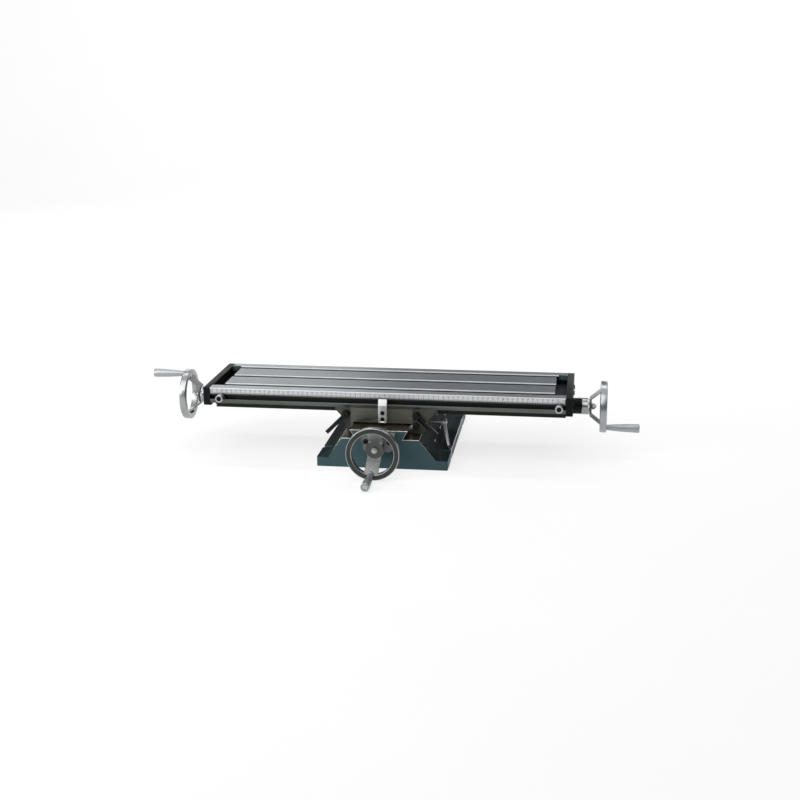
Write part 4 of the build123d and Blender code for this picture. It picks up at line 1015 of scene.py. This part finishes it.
def facing(place, outward):
    """Frame at a place with Z along an outward direction."""
    return Matrix.Translation(place) @ outward.to_track_quat("Z", "Y").to_matrix().to_4x4()


def make_cap_screws(node, places, length, head, height, flats, shank):
    """A group of socket screws: each place is where a head sits, facing out."""
    radius = shank / 2
    rod = [(0, -length), (radius - SHANK_BEVEL, -length), (radius, -length + SHANK_BEVEL), (radius, 0)]
    screws = Piece(black_steel)
    for place in places:
        screws.add(socket_head(head / 2, height, flats, height * 0.55), place)
        screws.add(rings(rod, 24), place)
    screws.make(f"{node}_dressed", frame["nodes"][node]["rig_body"], [node])


def make_bracket_screws():
    """The screws of the end brackets and of the front bracket, sunk in them."""
    up = middle_of("end_bracket_screws").z
    places = []
    for side in ("left", "right"):
        face, outward = SEATS[side].translation.x, OUTWARD[side]
        for row in END_SCREW_ROWS:
            place = Vector((face, TABLE_MID_Y + row, up))
            places.append(facing(place - outward * SCREW_SINK, outward))
    make_cap_screws("end_bracket_screws", places, M6_LENGTH, **M6_SCREW)

    low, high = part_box("front_bracket_screws")
    inset = M6_SCREW["head"] / 2
    depth = SEATS["front"].translation.y + SCREW_SINK
    places = [facing(Vector((across, depth, (low.z + high.z) / 2)), OUTWARD["front"])
              for across in (low.x + inset, high.x - inset)]
    make_cap_screws("front_bracket_screws", places, M6_LENGTH, **M6_SCREW)


def make_pointer_screws():
    """The pointer block's two screws, which follow it."""
    low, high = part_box("pointer_screws")
    middle = (low.x + high.x) / 2
    places = [facing(Vector((middle, low.y + POINTER_SCREW["height"], up)) + POINTER_SHIFT, OUTWARD["front"])
              for up in (low.z + POINTER_SCREW_INSET, high.z - POINTER_SCREW_INSET)]
    make_cap_screws("pointer_screws", places, POINTER_SCREW_LENGTH, **POINTER_SCREW)


def make_single_screw(node, sizes):
    """A screw in the front of the saddle or the table, as long as its solid."""
    low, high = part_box(node)
    middle = middle_of(node)
    place = facing(Vector((middle.x, low.y + sizes["height"], middle.z)), OUTWARD["front"])
    make_cap_screws(node, [place], high.y - low.y - sizes["height"], **sizes)


make_bracket_screws()
make_pointer_screws()
for side in ("left", "right"):
    make_single_screw(f"{side}_lock_screw", LOCK_SCREW)
    make_single_screw(f"{side}_stop_screw", STOP_SCREW)


# Slotted gib screws

GIB_HEAD = {"radius": 6.5 * MM, "height": 7 * MM, "slot_width": 1.8 * MM, "slot_depth": 2.2 * MM}
GIB_SHANK_RADIUS = 3 * MM
GIB_SHANK_LENGTH = 19 * MM


def make_saddle_gib_screws():
    """Slotted gib screws in the saddle's front and rear."""
    low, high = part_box("saddle_gib_screws")
    middle = middle_of("saddle_gib_screws")
    shank = [(0, -GIB_SHANK_LENGTH), (GIB_SHANK_RADIUS, -GIB_SHANK_LENGTH), (GIB_SHANK_RADIUS, 0)]
    screws = Piece(black_steel)
    for way, face in ((-1, low.y + GIB_HEAD["height"]), (1, high.y - GIB_HEAD["height"])):
        place = facing(Vector((middle.x, face, middle.z)), Vector((0, way, 0)))
        screws.add(slotted_head(**GIB_HEAD), place)
        screws.add(rings(shank, 24), place)
    screws.make("saddle_gib_screws_dressed", "saddle", ["saddle_gib_screws"])


make_saddle_gib_screws()


# Oilers and rivets

OILER_RADIUS = 3 * MM
OILER_INSET = 5 * MM
OILER_RISE = 1.5 * MM
RIVET_COUNT = 7
RIVET_HEAD = 2 * MM
RIVET_RISE = 0.5 * MM
RIVET_SHANK = 1.5 * MM
RIVET_DEPTH = 3.9 * MM


def oiler_patch(low, high):
    """Pressed cup with a ball in its mouth."""
    radius = OILER_RADIUS
    mouth = radius * 0.45
    stations = [
        (radius, low), (radius, high - 0.3 * MM), (radius - 0.3 * MM, high), (mouth + 0.2 * MM, high),
        (mouth, high - 0.5 * MM), (mouth * 0.8, high + 0.1 * MM), (mouth * 0.4, high + 0.4 * MM),
        (0, high + 0.5 * MM),
    ]
    return rings(stations, 32)


def make_oilers(node, sides):
    """Oilers on top of the shaft ends' bosses."""
    low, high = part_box(node)
    oilers = Piece(turned_steel)
    for side in sides:
        spot = SEATS[side] @ Vector((0, 0, BOSS - OILER_INSET))
        oilers.add(oiler_patch(low.z, high.z - OILER_RISE), Matrix.Translation((spot.x, spot.y, 0)))
    oilers.make(f"{node}_dressed", frame["nodes"][node]["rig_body"], [node])


def make_rivets():
    """Dome-headed rivets of the rule, evenly spaced."""
    low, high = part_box("rule_rivets")
    span = high.x - low.x - 2 * RIVET_HEAD
    dome = [(RIVET_SHANK, -RIVET_DEPTH), (RIVET_SHANK, 0), (RIVET_HEAD, 0), (1.85 * MM, 0.2 * MM),
            (1.4 * MM, 0.38 * MM), (0.7 * MM, 0.48 * MM), (0, RIVET_RISE)]
    rivets = Piece(turned_steel)
    for index in range(RIVET_COUNT):
        across = low.x + RIVET_HEAD + span * index / (RIVET_COUNT - 1)
        place = facing(Vector((across, low.y + RIVET_RISE, (low.z + high.z) / 2)), OUTWARD["front"])
        rivets.add(rings(dome, 24), place)
    rivets.make("rule_rivets_dressed", "table", ["rule_rivets"])


make_oilers("end_oilers", ("left", "right"))
make_oilers("front_oiler", ("front",))
make_rivets()


# Numbers on the rule and the dials

RULE_NUMBER_HEIGHT = 3.1 * MM
RULE_NUMBER_DROP = 2.6 * MM
RULE_INK_LIFT = 0.02 * MM
DIAL_NUMBER_HEIGHT = 1.9 * MM
DIAL_NUMBER_START = 5.7 * MM
DIAL_INK_SINK = 0.08 * MM
DIAL_NUMBERS = 5


def number_patch(text, height):
    """Patch of a number, its middle at the origin."""
    curve = bpy.data.curves.new("number", "FONT")
    curve.body = text
    curve.size = height * 1.4
    curve.align_x = "CENTER"
    curve.align_y = "CENTER"
    curve.resolution_u = 3
    holder = bpy.data.objects.new("number", curve)
    bpy.context.scene.collection.objects.link(holder)
    bpy.context.view_layer.update()
    mesh = bpy.data.meshes.new_from_object(holder)
    points = [tuple(vertex.co) for vertex in mesh.vertices]
    faces = [tuple(polygon.vertices) for polygon in mesh.polygons]
    bpy.data.objects.remove(holder)
    bpy.data.meshes.remove(mesh)
    bpy.data.curves.remove(curve)
    return points, faces


def make_rule_numbers():
    """Centimetre numbers that count both ways from the rule's middle."""
    low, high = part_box("scale_rule")
    upright = Matrix(((1, 0, 0, 0), (0, 0, -1, 0), (0, 1, 0, 0), (0, 0, 0, 1)))
    numbers = Piece(ink)
    for centimetre in range(-36, 37):
        place = (centimetre * 10 * MM, low.y - RULE_INK_LIFT, high.z - RULE_NUMBER_DROP)
        patch = number_patch(str(abs(centimetre)), RULE_NUMBER_HEIGHT)
        numbers.add(patch, Matrix.Translation(place) @ upright)
    numbers.make("rule_numbers", "table")


def make_dial_numbers(side):
    """Numbers wrapped on a dial, one every ten graduations."""
    numbers = Piece(ink)
    radius = DIAL_RADIUS - DIAL_INK_SINK
    for index in range(DIAL_NUMBERS):
        points, faces = number_patch(str(index * DIAL_STEPS // DIAL_NUMBERS), DIAL_NUMBER_HEIGHT)
        turn = math.tau * index / DIAL_NUMBERS
        wrapped = []
        for across, up, _ in points:
            angle = turn + across / radius
            height = DIAL_START + DIAL_NUMBER_START + up
            wrapped.append((radius * math.cos(angle), radius * math.sin(angle), height))
        numbers.add((wrapped, faces))
    numbers.make(f"{side}_dial_numbers", f"{side}_dial", place=SEATS[side])


make_rule_numbers()
for side in OUTWARD:
    make_dial_numbers(side)


# Floor, backdrop and lights

OBJECT_MIDDLE = (0, 0, 0.1)
FLOOR_WIDTH = 14
FLOOR_FRONT = -9
FLOOR_BACK = 4.5
FLOOR_BEND = 0.8
BEND_STEPS = 12
BACKDROP_HEIGHT = 1.25
FLOOR_GLOW = 0.75
WORLD_STRENGTH = 0.16


def add_floor():
    """Pale floor that curves up into a backdrop."""
    bend_start = FLOOR_BACK - FLOOR_BEND
    profile = [(FLOOR_FRONT, 0), (bend_start, 0)]
    for step in range(1, BEND_STEPS + 1):
        angle = math.radians(90 * step / BEND_STEPS)
        profile.append((bend_start + FLOOR_BEND * math.sin(angle), FLOOR_BEND - FLOOR_BEND * math.cos(angle)))
    profile.append((FLOOR_BACK, BACKDROP_HEIGHT))
    points = [(side * FLOOR_WIDTH / 2, y, z) for y, z in profile for side in (-1, 1)]
    faces = [(2 * i, 2 * i + 1, 2 * i + 3, 2 * i + 2) for i in range(len(profile) - 1)]
    mesh = bpy.data.meshes.new("floor")
    mesh.from_pydata(points, [], faces)
    mesh.shade_smooth()
    material, tree, shader = new_material("floor_paper", 0.0, 0.9)
    tone = mix(tree, noise(tree, object_place(tree), 3), rgba((0.2, 0.2, 0.2)), rgba((0.22, 0.22, 0.22)))
    tree.links.new(tone, shader.inputs["Base Color"])
    shader.inputs["Emission Color"].default_value = (1, 1, 1, 1)
    shader.inputs["Emission Strength"].default_value = FLOOR_GLOW
    mesh.materials.append(material)
    floor = bpy.data.objects.new("floor", mesh)
    bpy.context.scene.collection.objects.link(floor)


def add_area_light(name, place, target, size, power):
    """Soft rectangular light that points at a target; its size is in metres and its power in watts."""
    data = bpy.data.lights.new(name, "AREA")
    data.shape = "RECTANGLE"
    data.size, data.size_y = size
    data.energy = power
    light = bpy.data.objects.new(name, data)
    light.location = place
    light.rotation_mode = "QUATERNION"
    light.rotation_quaternion = (Vector(target) - Vector(place)).to_track_quat("-Z", "Y")
    bpy.context.scene.collection.objects.link(light)


def add_world():
    """Grey surroundings."""
    world = bpy.data.worlds.new("studio")
    world.use_nodes = True
    background = world.node_tree.nodes["Background"]
    background.inputs["Color"].default_value = rgba((0.9, 0.92, 0.95))
    background.inputs["Strength"].default_value = WORLD_STRENGTH
    bpy.context.scene.world = world


add_floor()
add_area_light("key_light", (-0.9, -2.1, 2.7), OBJECT_MIDDLE, (3.4, 2.6), 66)
add_area_light("left_front_light", (-1.5, -1.3, 0.8), (-0.4, 0, 0.1), (0.9, 0.9), 16)
add_area_light("top_light", (0.2, 0.2, 3.0), OBJECT_MIDDLE, (5.0, 3.0), 35)
add_area_light("backdrop_light", (0, 1.6, 3.4), (0, 4.4, 0.8), (6, 1.5), 150)
add_area_light("rear_left_light", (-1.5, 3.4, 1.7), OBJECT_MIDDLE, (1.7, 1.1), 13)
add_area_light("rear_right_light", (1.2, 3.4, 1.6), (0.3, 0, 0.1), (1.2, 0.8), 7)
add_world()
bpy.context.scene.view_settings.view_transform = "Standard"
